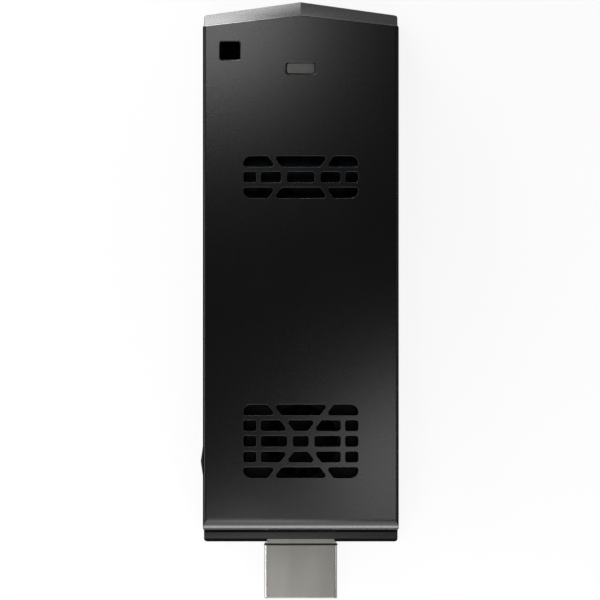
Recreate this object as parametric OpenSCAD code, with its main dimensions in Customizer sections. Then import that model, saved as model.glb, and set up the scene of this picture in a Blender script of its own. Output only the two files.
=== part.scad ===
// HDMI stick computer: a slim case with a plug at one end, a board, a blower and side ports.
// X runs across the case, Y from the plug to the roof-shaped end, Z up from the resting face.

/* [Case] */
// Width across the top cover
body_w = 37.5; // [37:0.1:40]
// Length from the plug end wall to the point of the roof-shaped end
body_l = 103.4; // [101:0.1:112]
// Height from the resting face to the top face
body_h = 12.5; // [12.3:0.1:14.5]
// Height of the bottom tray up to the parting line
tray_h = 9.2; // [9.15:0.05:9.6]
// Wall thickness of the bottom tray
tray_wall = 1.6; // [1.5:0.05:1.7]
// Floor thickness of the bottom tray
tray_floor = 1.2; // [0.8:0.1:1.6]
// Thickness of the tray's wall at the plug end
front_wall = 2; // [1.6:0.1:2.4]
// Wall and roof thickness of the top cover
cover_wall = 1.2; // [1:0.05:1.3]
// How far the cover stands proud of the tray at each side
cover_overhang = 0.2; // [0.15:0.05:0.3]
// Width lost at each side of the tray from its rim to its floor
tray_draft = 0.2; // [0.05:0.05:0.3]
// Ledge of the tray in front of the cover
front_ledge = 2.1; // [1.7:0.1:2.5]
// Radius along the front edge of the ledge
ledge_r = 0.8; // [0.4:0.1:1.2]
// Radius of the rolled front edge of the cover
roll_r = 2.2; // [1.6:0.1:2.6]
// Radius along the side edges of the cover
cover_edge_r = 0.6; // [0.3:0.1:0.9]
// Radius along the lower edges of the tray
tray_edge_r = 0.8; // [0.4:0.1:1.2]
// Radius of the upright corners
corner_r = 0.6; // [0.3:0.1:1]
// Slope of the roof end walls in plan, in degrees
roof_angle = 8; // [6:0.5:10]
// Slope of the cover's roof edge in plan, in degrees
ridge_angle = 6.5; // [5:0.5:8]
// Run of the sloped roof facets at their point
facet_run = 2.4; // [2:0.1:2.8]
// Slope of the roof facets below the cover, in degrees
facet_slope = 45; // [35:1:55]
// Bevel along the roof edge of the cover
roof_bevel = 0.3; // [0.1:0.05:0.5]
// Bevel along the lower roof edges of the tray
foot_bevel = 0.6; // [0.3:0.1:0.9]
// Slope of the small bevels along the roof edges, in degrees
bevel_slope = 45; // [40:1:50]
// Open seam between the cover and the tray
seam_gap = 0.15; // [0.1:0.05:0.25]
// Clearance between fixed pieces that fit together
fit_gap = 0.1; // [0.05:0.01:0.15]
// Height of the tongue that stands inside the cover
tongue_h = 1.2; // [0.9:0.1:1.4]
// Length of each snap hook on the tongue
hook_l = 4; // [3:0.5:6]
// Distance from the plug end wall to the middle of the first hooks
hook_front = 25; // [24:0.5:27]
// How far each snap hook stands out
hook_out = 0.25; // [0.15:0.05:0.35]

/* [Vents] */
// Width of both vents
vent_w = 22; // [20:0.5:24]
// Length of one row of slots along the case
slot_l = 2.1; // [1.9:0.1:2.3]
// Rib between two rows
row_rib = 0.9; // [0.7:0.1:1.1]
// Width of the square slots at the ends of the inner rows
end_slot_w = 2.5; // [2:0.1:3]
// Rib beside the square slots
end_rib = 0.85; // [0.6:0.05:1.1]
// Angle of the crossed braces from the case's length, in degrees
brace_angle = 38; // [34:1:42]
// Width of the crossed braces
brace_w = 0.85; // [0.6:0.05:1.1]
// Distance from the centre line to the braces at the outer rows
brace_x = 5; // [4.6:0.1:5.4]
// Radius at the outer corners of the vents
vent_corner_r = 1.5; // [1:0.1:1.6]
// Radius at the corners of the slots
slot_corner_r = 0.5; // [0.15:0.05:0.6]
// Distance from the plug end wall to the centre of the intake vent
intake_front = 19.25; // [18.5:0.25:20]
// Rows of slots in the intake vent
intake_rows = 5; // [3:2:5]
// Width of the middle slot of the intake vent
intake_mid_w = 3.05; // [2.5:0.1:3.5]
// Distance from the roof point to the centre of the outlet vent
outlet_back = 33.6; // [32:0.2:36]
// Rows of slots in the outlet vent
outlet_rows = 3; // [3:2:5]
// Width of the middle slot of the outlet vent
outlet_mid_w = 5.3; // [4.5:0.1:6]
// Rib beside the middle slots
mid_rib = 1.1; // [0.8:0.1:1.4]

/* [Indicator and lanyard hole] */
// Width of the indicator window
led_w = 5.6; // [4.5:0.1:6.5]
// Length of the indicator window along the case
led_l = 2.25; // [1.8:0.05:2.8]
// Distance from the roof point to the centre of the window
led_back = 12.8; // [12:0.1:13.5]
// How deep the lens sits below the top face
led_recess = 0.25; // [0.1:0.05:0.4]
// Rim of the lens behind the window
lens_rim = 0.5; // [0.3:0.1:0.8]
// Thickness of the lens rim
lens_rim_t = 0.6; // [0.4:0.1:0.8]
// Width of the light guide below the lens
guide_w = 2.6; // [2:0.1:3.2]
// Width of the indicator chip
led_chip_w = 1.6; // [1.2:0.1:2]
// Length of the indicator chip along the case
led_chip_l = 0.8; // [0.6:0.1:1.2]
// Height of the indicator chip
led_chip_h = 0.6; // [0.4:0.1:0.8]
// Width of the lanyard hole
lanyard_w = 3.85; // [3.2:0.05:4.2]
// Length of the lanyard hole along the case
lanyard_l = 3.55; // [3:0.05:3.9]
// Distance from the side of the cover to the centre of the lanyard hole
lanyard_side = 5.2; // [5:0.1:5.6]
// Distance from the roof point to the centre of the lanyard hole
lanyard_back = 9.4; // [9.2:0.1:9.8]
// Wall of the lanyard shaft
lanyard_wall = 1; // [0.8:0.1:1.1]
// Height of the shaft's floor, where the lanyard turns out to the side
lanyard_floor_z = 4.6; // [3.5:0.1:5]
// Height of the side opening of the shaft
lanyard_exit_h = 3.2; // [2.5:0.1:3.6]

/* [Power button] */
// Distance from the plug end wall to the middle of the button
button_front = 15.4; // [14.8:0.1:16]
// Length of the button along the case
button_l = 8; // [7:0.1:8.6]
// Height of the button
button_h = 3.2; // [2.6:0.1:3.4]
// How far the peak of the button stands out past the cover
button_peak = 0.43; // [0.4:0.01:0.6]
// Slope of the two faces of the button, in degrees
button_angle = 8; // [5:0.5:8.5]
// Gap around the button in its window
button_gap = 0.12; // [0.1:0.01:0.2]
// Flange around the button inside the wall
button_flange = 0.7; // [0.5:0.1:0.9]
// Thickness of the flange
button_flange_t = 0.8; // [0.6:0.1:0.9]
// How far the button moves in
button_travel = 0.3; // [0.2:0.05:0.35]
// Depth of the switch across the case
switch_w = 2.6; // [2.4:0.1:2.7]
// Length of the switch along the case
switch_l = 3.6; // [3:0.1:4.5]
// Height of the switch
switch_h = 1.8; // [1.6:0.1:2]
// Length of the plunger outside the switch
plunger_out = 0.8; // [0.7:0.05:0.9]
// Length of the plunger along the case
plunger_l = 1.8; // [1.4:0.1:2.2]
// Height of the plunger
plunger_h = 0.9; // [0.7:0.1:1]
// Play between the button and the plunger
press_gap = 0.05; // [0.03:0.01:0.08]

/* [Plug] */
// Width of the plug's shell
plug_w = 13.9; // [13.6:0.05:14.1]
// Height of the plug's shell
plug_h = 4.45; // [4.3:0.05:4.6]
// Length of the plug outside the case
plug_out = 10.9; // [10.5:0.1:12]
// Length of the plug inside the case
plug_in = 5; // [4.6:0.1:5.3]
// Sheet thickness of the plug's shell
plug_sheet = 0.35; // [0.25:0.05:0.4]
// Width of the slanted lower corners of the plug
plug_cut_w = 1.4; // [1:0.1:1.8]
// Height of the slanted lower corners of the plug
plug_cut_h = 1.5; // [1.1:0.1:1.9]
// Radius of the plug's upper corners
plug_corner_r = 0.5; // [0.4:0.05:0.6]
// Depth of the notch in the front edge of the ledge, over the plug
plug_notch = 0.5; // [0.3:0.1:0.7]
// Length of the rear shield seen between the case and the shell
shield_out = 0.42; // [0.3:0.02:0.6]
// How much smaller the rear shield is than the shell, at each side
shield_step = 0.1; // [0.05:0.01:0.15]
// Length of the insulator's rim between shield and shell
rim_l = 0.25; // [0.2:0.05:0.35]
// How far the rim stands proud of the shell
rim_out = 0.12; // [0.05:0.01:0.2]
// Width of the slot in the plug
plug_slot_w = 11.3; // [10.8:0.1:11.6]
// Height of the slot in the plug
plug_slot_h = 1.9; // [1.7:0.05:2]
// How deep the insulator sits behind the shell's open end
plug_setback = 0.4; // [0.2:0.1:0.8]
// Contacts in the upper row of the plug
plug_pins = 10; // [10]
// Spacing of the contacts in each row
plug_pitch = 1; // [1]
// Width of one plug contact
plug_pin_w = 0.45; // [0.35:0.05:0.5]
// Thickness of the contacts of the plug
pin_t = 0.2; // [0.15:0.01:0.25]
// Length of the contact feet and shield legs on the board
plug_foot_l = 2.2; // [1.6:0.1:2.3]
// Height of the shield's legs, and their length along the shield
shield_leg = 1; // [0.8:0.1:1.2]
// Distance from the insulator's front to the tips of the contacts
pin_setback = 1; // [0.6:0.1:1.4]

/* [USB port] */
// Distance from the roof point to the middle of the USB port
usb_back = 22.7; // [22.4:0.1:27]
// Width of the USB port's shell
usb_w = 13.2; // [13:0.1:13.4]
// Height of the USB port's shell
usb_h = 5.7; // [5.6:0.05:5.75]
// Depth of the USB port's shell
usb_depth = 13.8; // [12.5:0.1:14.5]
// Sheet thickness of both USB shells
port_sheet = 0.3; // [0.2:0.05:0.35]
// Corner radius of the USB port's shell
usb_corner_r = 0.6; // [0.4:0.1:0.9]
// How deep both USB shells sit behind the tray's outer wall
port_recess = 0.3; // [0.2:0.05:0.5]
// Gap around both USB shells in the tray and in the board
port_gap = 0.2; // [0.15:0.01:0.25]
// Width of the tongue in the USB port
usb_tongue_w = 11.2; // [10.8:0.1:11.6]
// Thickness of the tongue in the USB port
usb_tongue_t = 1.84; // [1.7:0.02:1.9]
// Space above the tongue in the USB port
usb_tongue_gap = 0.6; // [0.5:0.05:0.8]
// How deep the tongue sits behind the mouth
tongue_setback = 0.9; // [0.5:0.1:1.4]
// Depth of the block that carries the tongue
usb_block_l = 4.4; // [3.5:0.1:5]
// Contacts of the USB port
usb_pins = 4; // [4]
// Spacing of the USB contacts
usb_pitch = 2.3; // [2.1:0.05:2.5]
// Width of one USB contact
usb_pin_w = 1; // [0.8:0.05:1.2]
// Thickness of the contacts of all ports
port_pin_t = 0.15; // [0.1:0.01:0.18]
// Length of the port contacts' feet on the board
port_foot_l = 1.2; // [0.8:0.1:1.6]
// Width of the ears that hold both USB shells on the board
port_ear_w = 1.2; // [0.9:0.1:1.5]
// Length of the USB shell's ears
usb_ear_l = 2.4; // [2:0.1:5]
// Distance from the USB port's mouth to its ears
usb_ear_x = 4.6; // [4:0.1:5]

/* [Power port] */
// Distance from the plug end wall to the middle of the micro-USB power port
micro_front = 45.2; // [44.6:0.1:46]
// Width of the micro-USB shell
micro_w = 7.5; // [7.3:0.05:7.7]
// Height of the micro-USB shell
micro_h = 2.5; // [2.4:0.05:2.6]
// Depth of the micro-USB shell
micro_depth = 5; // [4.6:0.1:5.3]
// Width of the slanted lower corners of the micro-USB shell
micro_cut_w = 1; // [0.8:0.05:1.2]
// Height of the slanted lower corners of the micro-USB shell
micro_cut_h = 1; // [0.8:0.05:1.2]
// Width of the tongue in the micro-USB port
micro_tongue_w = 3.7; // [3.4:0.1:4]
// Thickness of the tongue in the micro-USB port
micro_tongue_t = 0.6; // [0.5:0.05:0.7]
// How far the micro-USB tongue's lower face lies below the middle of the port
micro_tongue_drop = 0.1; // [0.05:0.05:0.15]
// Depth of the block that carries the micro-USB tongue
micro_block_l = 1.5; // [1.2:0.1:1.8]
// Contacts of the micro-USB port
micro_pins = 5; // [5]
// Spacing of the micro-USB contacts
micro_pitch = 0.65; // [0.6:0.01:0.7]
// Width of one micro-USB contact
micro_pin_w = 0.4; // [0.3:0.05:0.45]
// Length of the micro-USB shell's ears
micro_ear_l = 2.5; // [2:0.1:2.8]

/* [Card slot] */
// Distance from the roof point to the middle of the card slot
card_back = 27.4; // [26.5:0.1:31]
// Width of the card slot in the tray
card_w = 11.8; // [11.4:0.1:12.2]
// Height of the card slot in the tray
card_h = 1; // [0.9:0.05:1.1]
// Width of the card socket
socket_w = 14.4; // [14.2:0.1:15]
// Depth of the card socket
socket_l = 14.4; // [13.5:0.1:15]
// Height of the card socket below the board
socket_h = 1.55; // [1.5:0.05:1.7]
// Thickness of the socket's base
socket_base_t = 0.4; // [0.35:0.05:0.45]
// Sheet thickness of the socket's cover
socket_sheet = 0.2; // [0.15:0.05:0.25]
// Distance from the tray's inner wall to the mouth of the socket
socket_setback = 0.6; // [0.4:0.1:0.8]
// Contacts of the card socket
card_pins = 8; // [8]
// Spacing of the card contacts
card_pitch = 1.1; // [1.05:0.01:1.12]
// Width of one card contact
card_pin_w = 0.6; // [0.5:0.05:0.7]
// Thickness of one card contact
card_pin_t = 0.12; // [0.1:0.01:0.15]
// Length of the card contacts under the base
card_pin_l = 6; // [5:0.5:7]
// Length of the ejector slider
slider_l = 6; // [5:0.5:6.5]
// Width of the ejector slider
slider_w = 1.3; // [1.1:0.1:1.4]
// How far the hook of the slider reaches into the card's path
slider_hook = 0.5; // [0.3:0.1:0.6]
// Length of the hook along the slider
slider_hook_l = 1; // [0.8:0.1:1.2]
// Distance from the socket's mouth to the slider at rest
slider_setback = 2.2; // [1.8:0.1:2.6]
// How far the slider moves in
slider_travel = 1.2; // [0.8:0.1:1.5]
// Clearance above, below and beside the slider
slider_gap = 0.08; // [0.06:0.01:0.1]
// Depth of the stop that the ejector spring rests on
socket_stop_l = 0.8; // [0.6:0.1:1]
// Wire of the ejector spring
spring_wire = 0.16; // [0.12:0.02:0.18]
// Outside diameter of the ejector spring
spring_d = 0.66; // [0.6:0.02:0.68]
// Turns of the ejector spring
spring_turns = 6; // [5:1:7]

/* [Board] */
// Height of the middle of the board, the plug and the USB ports
port_z = 6.2; // [6.15:0.05:6.25]
// Thickness of the board
board_t = 1; // [0.8:0.1:1.2]
// Gap between the board and the tray's walls
board_gap = 0.25; // [0.2:0.05:0.4]
// Gap between the board and the roof end of the tray
board_back_gap = 0.75; // [0.5:0.05:1]
// Gap between the plug's insulator and the board's edge
board_plug_gap = 0.3; // [0.2:0.05:0.4]
// Diameter of the board screws
screw_d = 1.6; // [1.4:0.1:1.8]
// Diameter of the board screws' heads
screw_head_d = 3.2; // [2.8:0.1:3.4]
// Height of the board screws' heads
screw_head_h = 0.9; // [0.7:0.1:1.1]
// Length of the board screws in the bosses
screw_bite = 2.8; // [2:0.1:3.2]
// Diameter of the tray's bosses
boss_d = 4; // [3.6:0.1:4.4]
// Distance from the board's long edges to the screws
screw_side = 2.9; // [2.7:0.1:3.1]
// Distance from the plug end wall to the front screws
screw_front = 7.2; // [6.9:0.1:7.4]
// Distance from the roof point to the rear screws
screw_back = 9.8; // [9.4:0.1:10.2]
// Distance from the centre line to the rear screw beside the lanyard shaft
screw_mid = 6.6; // [6.2:0.1:7]
// Clearance of screws in their holes, across the diameter
hole_gap = 0.2; // [0.15:0.01:0.3]
// Length of the cross in a screw's head, as a share of the head's width
cross_l = 0.6; // [0.5:0.05:0.7]
// Width of the cross in a screw's head, as a share of the head's width
cross_w = 0.14; // [0.1:0.02:0.18]
// Depth of the cross in a screw's head, as a share of the head's height
cross_depth = 0.6; // [0.5:0.05:0.7]

/* [Chips] */
// Distance from the plug end wall to the middle of the processor
chip_front = 45.2; // [44.6:0.1:46]
// Side of the processor
chip_w = 17; // [14:0.5:17.5]
// Height of the processor
chip_h = 1; // [0.8:0.1:1.2]
// Thickness of the processor's base
chip_base_t = 0.5; // [0.4:0.05:0.6]
// Side of the processor's die
die_w = 11.2; // [9:0.2:12]
// Thickness of the thermal pad
pad_t = 0.4; // [0.3:0.05:0.5]
// Side of the thermal pad
pad_w = 14; // [10:0.5:14]
// Width of one memory chip
memory_w = 7.5; // [7:0.1:7.8]
// Length of one memory chip
memory_l = 11; // [10:0.5:12]
// Height of the memory and storage chips
memory_h = 1; // [0.8:0.1:1.2]
// Gap between neighbouring memory chips
memory_gap = 0.9; // [0.6:0.1:1.2]
// Width of the storage chip
storage_w = 11.5; // [10:0.5:12]
// Length of the storage chip
storage_l = 13; // [11:0.5:14]
// Side of the power regulator
regulator_w = 4; // [3:0.1:4.2]
// Height of the power regulator
regulator_h = 0.8; // [0.6:0.1:1]
// Side of one choke
choke_w = 3; // [2.4:0.1:3.2]
// Height of one choke
choke_h = 1.2; // [0.9:0.1:1.2]
// Number of chokes
chokes = 3; // [2:1:3]
// Length of one capacitor
capacitor_l = 1.6; // [1:0.1:2]
// Width and height of one capacitor
capacitor_w = 0.8; // [0.5:0.1:1]
// Number of capacitors in a row
capacitors = 6; // [3:1:7]
// Spacing of the capacitors
capacitor_pitch = 1.9; // [1.5:0.1:2]
// Length of the crystal
crystal_l = 3.2; // [2.5:0.1:4]
// Width of the crystal
crystal_w = 2.5; // [2:0.1:2.6]
// Height of the crystal
crystal_h = 0.7; // [0.5:0.1:0.9]
// Gap between the small pieces on the board
strip_gap = 0.8; // [0.6:0.1:1]

/* [Cooler] */
// Width of the heat sink
sink_w = 29; // [27.5:0.5:30]
// Length of the heat sink
sink_l = 26; // [25:0.5:28]
// Thickness of the heat sink's base
sink_base_t = 1; // [0.8:0.1:1.2]
// Number of fins
fins = 12; // [8:1:13]
// Thickness of one fin
fin_t = 0.6; // [0.4:0.05:0.8]
// Gap between the fins and the cover
fin_gap = 0.3; // [0.2:0.05:0.5]
// Diameter of the heat sink's posts
post_d = 3.6; // [3.2:0.1:3.8]
// Distance from the heat sink's edges to its screws
sink_edge = 2; // [1.9:0.1:2.2]
// Diameter of the cooler screws
cooler_screw_d = 1.4; // [1.2:0.1:1.6]
// Diameter of the cooler screws' heads
cooler_head_d = 2.6; // [2.3:0.1:2.8]
// Height of the cooler screws' heads
cooler_head_h = 0.7; // [0.5:0.1:0.9]
// Width of the cooler nuts across their flats
nut_w = 2.8; // [2.6:0.1:3]
// Thickness of the cooler nuts
nut_t = 1.1; // [0.9:0.1:1.3]
// Side of the blower's housing
fan_w = 21; // [20.6:0.1:23.4]
// Gap between the blower and the cover
fan_gap = 0.4; // [0.3:0.05:0.6]
// Thickness of the blower's base
fan_base_t = 0.6; // [0.5:0.05:0.7]
// Thickness of the blower's inlet plate
fan_plate_t = 0.4; // [0.3:0.05:0.5]
// Radius of the blower's chamber
chamber_r = 9.3; // [9:0.1:9.9]
// Diameter of the inlet
inlet_d = 14; // [13:0.5:15]
// Radius of the rotor's blades
blade_r = 8.4; // [8:0.1:8.8]
// Number of blades
blades = 15; // [9:2:17]
// Thickness of one blade
blade_t = 0.45; // [0.35:0.05:0.6]
// Lean of the blades from hub to tip, in degrees
blade_lean = 30; // [15:5:40]
// Diameter of the rotor's hub
hub_d = 9.4; // [9.2:0.1:9.8]
// Wall of the rotor's hub
hub_wall = 0.5; // [0.4:0.05:0.6]
// Running clearance between rotor and housing, along the axis
rotor_gap = 0.4; // [0.3:0.05:0.5]
// Diameter of the rotor's shaft
shaft_d = 1.2; // [1:0.1:1.4]
// Running clearance of the shaft in its bearing, at each side
shaft_gap = 0.03; // [0.02:0.01:0.05]
// Outside diameter of the bearing
bearing_d = 2.6; // [2.3:0.1:2.8]
// Thickness of the rotor's magnet ring
magnet_t = 0.6; // [0.5:0.05:0.7]
// Gap between stator and magnet
air_gap = 0.3; // [0.2:0.05:0.35]
// Width of the stator's arms
stator_arm_w = 1.6; // [1.4:0.1:2]
// Thickness of the stator's ring around the bearing
stator_ring_t = 0.65; // [0.5:0.05:0.8]
// Share of the height inside the hub that the stator fills
stator_fill = 0.6; // [0.5:0.05:0.7]
// Corner pockets of the blower where the screw heads sit
fan_pocket_w = 3.6; // [3.4:0.1:3.8]
// Width of the blower's lead connector along the case
fan_plug_l = 3; // [2.6:0.1:3.4]
// Depth of the blower's lead connector across the case
fan_plug_w = 2.4; // [2:0.1:2.6]
// Height of the blower's lead connector
fan_plug_h = 1.5; // [1.2:0.1:1.8]
// Distance from the board's edge to the lead connector
fan_plug_side = 1.4; // [1:0.1:2]
// Distance from the blower's rear edge to the middle of the lead connector
fan_plug_back = 6; // [5:0.5:8]
// Diameter of one wire of the blower's lead
wire_d = 0.6; // [0.5:0.05:0.7]

/* [Wireless] */
// Distance from the roof point to the middle of the wireless module
module_back = 23.4; // [23:0.1:25]
// Side of the wireless module
module_w = 12; // [11:0.5:12.5]
// Height of the wireless module
module_h = 1.8; // [1.5:0.1:2]
// Distance from the board's edge to the module
module_side = 1.2; // [0.8:0.1:2]
// Length of the antenna
antenna_l = 13; // [10:0.5:14]
// Height of the antenna
antenna_h = 5; // [4:0.5:6]
// Thickness of the antenna
antenna_t = 0.2; // [0.15:0.05:0.25]
// How far the antenna reaches below the board's top
antenna_drop = 1.25; // [1:0.05:1.5]
// Diameter of the antenna's plug
aerial_plug_d = 2.4; // [2:0.1:2.6]
// Height of the antenna's plug
aerial_plug_h = 1.2; // [1:0.1:1.4]
// Diameter of the antenna's cable
aerial_d = 0.8; // [0.6:0.05:0.9]

/* [Hidden] */
$fn = 48;
past = 1; // how far cutting shapes run past the faces that they cut
joined = 0.1; // how far shapes of one piece run into each other
side_turns = [0, 1];
corner_steps = 6; // points along a rounded corner
slot_steps = 6; // points along a corner of a slot
slot_edge = 0.05; // straight run kept between the corners at a slot's end
plug_steps = 8; // points along a corner of the plug
roll_steps = 10; // points along the cover's rolled edge
blade_steps = 5; // points along one side of a blade
coil_steps = 10; // points along one turn of the spring
coil_sides = 6; // faces around the spring's wire
wire_steps = 12; // points along a wire or cable
wire_sides = 8; // faces around a wire or cable
end_run = 0.1; // straight share of the reach at each end of a wire
lead_reach = 0.45; // reach of the lead's ends, as a share of its span
cable_reach = 3; // reach of the cable's ends, in cable diameters

cover_hw = body_w / 2;
tray_hw = cover_hw - cover_overhang;
tray_in_hw = tray_hw - tray_wall;
front_y = -body_l / 2;
apex_y = body_l / 2;
cover_front = front_y + front_ledge;
cover_apex = apex_y - facet_run;
cover_z = tray_h + seam_gap;
cover_in_z = body_h - cover_wall;
cover_in_front = cover_front + cover_wall;
slant = 1 / cos(ridge_angle);
tongue_hw = cover_hw - cover_wall - fit_gap;
tongue_z = tray_h + tongue_h;
tongue_apex = cover_apex - (cover_wall + fit_gap) * slant;
tray_in_apex = tongue_apex - (tongue_hw - tray_in_hw) * slant;
tray_in_front = front_y + front_wall;
tray_in_shoulder = tray_in_apex - tray_in_hw * tan(ridge_angle);

board_z = port_z - board_t / 2;
board_top = port_z + board_t / 2;
board_hw = tray_in_hw - board_gap;
plug_back = front_y + plug_in;
board_front = plug_back + board_plug_gap;
board_back = tray_in_shoulder - board_back_gap;

row_pitch = slot_l + row_rib;
intake_y = front_y + intake_front;
outlet_y = apex_y - outlet_back;
led_y = apex_y - led_back;
lanyard_x = lanyard_side - cover_hw;
lanyard_y = apex_y - lanyard_back;
button_y = front_y + button_front;
usb_y = apex_y - usb_back;
micro_y = front_y + micro_front;
card_y = apex_y - card_back;
chip_y = front_y + chip_front;
module_y = apex_y - module_back;
module_x = board_hw - module_side - module_w / 2;

port_mouth = -(tray_hw - tray_draft - port_recess);
port_tip = port_mouth + tongue_setback;
usb_end = port_mouth + usb_depth;
micro_end = port_mouth + micro_depth;
micro_tab_z = port_z + micro_h / 2 + port_gap;
micro_tab_hl = micro_w / 2 + port_gap;
port_clear = 2 * port_gap;

screw_x = board_hw - screw_side;
front_screws = [for (sx = [-1, 1]) [sx * screw_x, front_y + screw_front]];
rear_screws = [for (x = [-screw_mid, screw_x]) [x, apex_y - screw_back]];
board_screw_places = concat(front_screws, rear_screws);

sink_z = board_top + chip_h + pad_t;
seat_z = sink_z + sink_base_t;
fin_top = cover_in_z - fin_gap;
sink_hx = sink_w / 2 - sink_edge;
sink_hy = sink_l / 2 - sink_edge;
sink_screws = [for (sx = [-1, 1], sy = [-1, 1]) [sx * sink_hx, chip_y + sy * sink_hy]];
fan_top = cover_in_z - fan_gap;
fan_floor = board_top + fan_base_t;
fan_ceiling = fan_top - fan_plate_t;
fan_corner = (fan_w - fan_pocket_w) / 2;
fan_corners = [for (sx = [-1, 1]) [sx * fan_corner, -fan_corner]];
fan_screws = [for (p = fan_corners) p + [0, intake_y]];
cooler_screw_places = concat(sink_screws, fan_screws);
hub_top = fan_ceiling - rotor_gap;
rotor_low = fan_floor + rotor_gap;
hub_ceiling = hub_top - hub_wall;
stator_r = hub_d / 2 - hub_wall - magnet_t - air_gap;

flange_x = -tray_in_hw + fit_gap;
flange_in = flange_x + button_flange_t;
plunger_tip = flange_in + press_gap;
switch_x = plunger_tip + plunger_out;
plunger_end = switch_x + switch_w / 2;
switch_mid_z = board_top + switch_h / 2;
flange_z0 = port_z - button_h / 2 - button_flange;
flange_z1 = port_z + button_h / 2 + button_flange;
button_notch = flange_in + button_travel + 2 * press_gap;

socket_mouth = tray_in_hw - socket_setback;
socket_end = socket_mouth - socket_l;
socket_low = board_z - socket_h;
card_low = socket_low + socket_sheet;
card_high = board_z - socket_base_t;
card_mid = (card_low + card_high) / 2;
socket_hw = socket_w / 2 - socket_sheet;
slider_y1 = card_y + socket_hw - slider_gap;
slider_y0 = slider_y1 - slider_w;
slider_x1 = socket_mouth - slider_setback;
slider_x0 = slider_x1 - slider_l;
spring_x0 = socket_end + socket_stop_l;

plug_tip = front_y - plug_out;
plug_foot_y = plug_back + plug_foot_l;
rim_y = front_y - shield_out;
notch_hw = plug_w / 2 - plug_corner_r;

function unit(v) = v / norm(v);
function inward(a, b) = unit([a.y - b.y, b.x - a.x]);
function arc_at(c, r, a) = c + r * [cos(a), sin(a)];

// The points of one rounded corner p between its neighbours a and b
function corner_arc(a, p, b, r, n) =
  r == 0 ? [p] :
  let (
    u = unit(a - p),
    v = unit(b - p),
    half = acos(u * v) / 2,
    c = p + unit(u + v) * r / sin(half),
    s = p + u * r / tan(half) - c,
    e = p + v * r / tan(half) - c,
    from = atan2(s.y, s.x),
    turn = atan2(s.x * e.y - s.y * e.x, s * e)
  )
  [for (i = [0:n]) arc_at(c, r, from + turn * i / n)];

// An outline with its corners rounded, each by its own radius
function rounded(pts, radii, n = corner_steps) =
  let (k = len(pts))
  [for (i = [0:k - 1]) each corner_arc(pts[(i + k - 1) % k], pts[i], pts[(i + 1) % k], radii[i], n)];

// An outline, drawn counterclockwise, moved inward by d
function inset(pts, d) =
  let (k = len(pts))
  [for (i = [0:k - 1])
    let (
      m = inward(pts[(i + k - 1) % k], pts[i]),
      n = inward(pts[i], pts[(i + 1) % k])
    )
    pts[i] + (m + n) * d / (1 + m * n)];

function box_outline(x0, x1, y0, y1) = [[x0, y0], [x1, y0], [x1, y1], [x0, y1]];
function roof_plan(hw, front, apex, angle) =
  [[-hw, front], [hw, front], [hw, apex - hw * tan(angle)], [0, apex], [-hw, apex - hw * tan(angle)]];

// A shell outline with slanted lower corners, drawn counterclockwise about its centre
function cut_outline(w, h, cut_w, cut_h) =
  [[-w / 2 + cut_w, -h / 2], [w / 2 - cut_w, -h / 2], [w / 2, -h / 2 + cut_h],
   [w / 2, h / 2], [-w / 2, h / 2], [-w / 2, -h / 2 + cut_h]];

// The rings of a round tube along a route that never runs along ref, each ring square to the route
function route_dir(route, i) =
  unit(route[min(i + 1, len(route) - 1)] - route[max(i - 1, 0)]);
function tube_points(route, r, sides, ref) =
  [for (i = [0:len(route) - 1])
    let (
      d = route_dir(route, i),
      side = unit(cross(d, ref)),
      up = cross(side, d)
    )
    for (j = [0:sides - 1]) route[i] + r * (cos(360 * j / sides) * side + sin(360 * j / sides) * up)];
function tube_faces(rings, sides) =
  concat(
    [[for (j = [0:sides - 1]) j]],
    [for (i = [0:rings - 2], j = [0:sides - 1])
      [i * sides + j, (i + 1) * sides + j, (i + 1) * sides + (j + 1) % sides, i * sides + (j + 1) % sides]],
    [[for (j = [sides - 1:-1:0]) (rings - 1) * sides + j]]
  );
// A smooth curve between two points that leaves and arrives along given directions
function bend(a, b, da, db, n) =
  [for (i = [0:n])
    let (t = i / n, s = 1 - t)
    s * s * s * a + 3 * s * s * t * (a + da) + 3 * s * t * t * (b - db) + t * t * t * b];

// The same curve with a short straight start and end, so that its ends are square
function cable_route(a, b, da, db, n) =
  let (s = end_run * da, e = end_run * db)
  concat([a], bend(a + s, b - e, da, db, n), [b]);

module y_prism(y0, y1) {
  translate([0, y1, 0]) rotate([90, 0, 0]) linear_extrude(y1 - y0) children();
}

module x_prism(x0, x1) {
  translate([x0, 0, 0]) rotate([90, 0, 90]) linear_extrude(x1 - x0) children();
}

module z_prism(z0, z1) {
  translate([0, 0, z0]) linear_extrude(z1 - z0) children();
}

module block(x0, x1, y0, y1, z0, z1) {
  translate([x0, y0, z0]) cube([x1 - x0, y1 - y0, z1 - z0]);
}

// A block about a centre in plan
module slab(x, y, w, l, z0, z1) {
  translate([x - w / 2, y - l / 2, z0]) cube([w, l, z1 - z0]);
}

module tube(route, r, sides, ref) {
  polyhedron(tube_points(route, r, sides, ref), tube_faces(len(route), sides));
}

// The space outside a slanted plane along both roof edges, from a point on the centre line
module roof_cut(y, z, angle, slope) {
  for (m = side_turns) mirror([m, 0, 0])
    translate([0, y, z]) rotate([0, 0, -angle]) rotate([-slope, 0, 0])
      block(-body_w, body_w, 0, body_h, 0, body_h);
}

function brace_edge(y, rows, side) =
  brace_x + tan(brace_angle) * (abs(y) - (rows - 1) / 2 * row_pitch)
  + side * brace_w / 2 / cos(brace_angle);

module slot(pts, radii) {
  polygon(rounded(pts, radii, slot_steps));
}

module plain_slot(x, y, w, l) {
  c = slot_corner_r;
  slot(box_outline(x - w / 2, x + w / 2, y - l / 2, y + l / 2), [c, c, c, c]);
}

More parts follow.
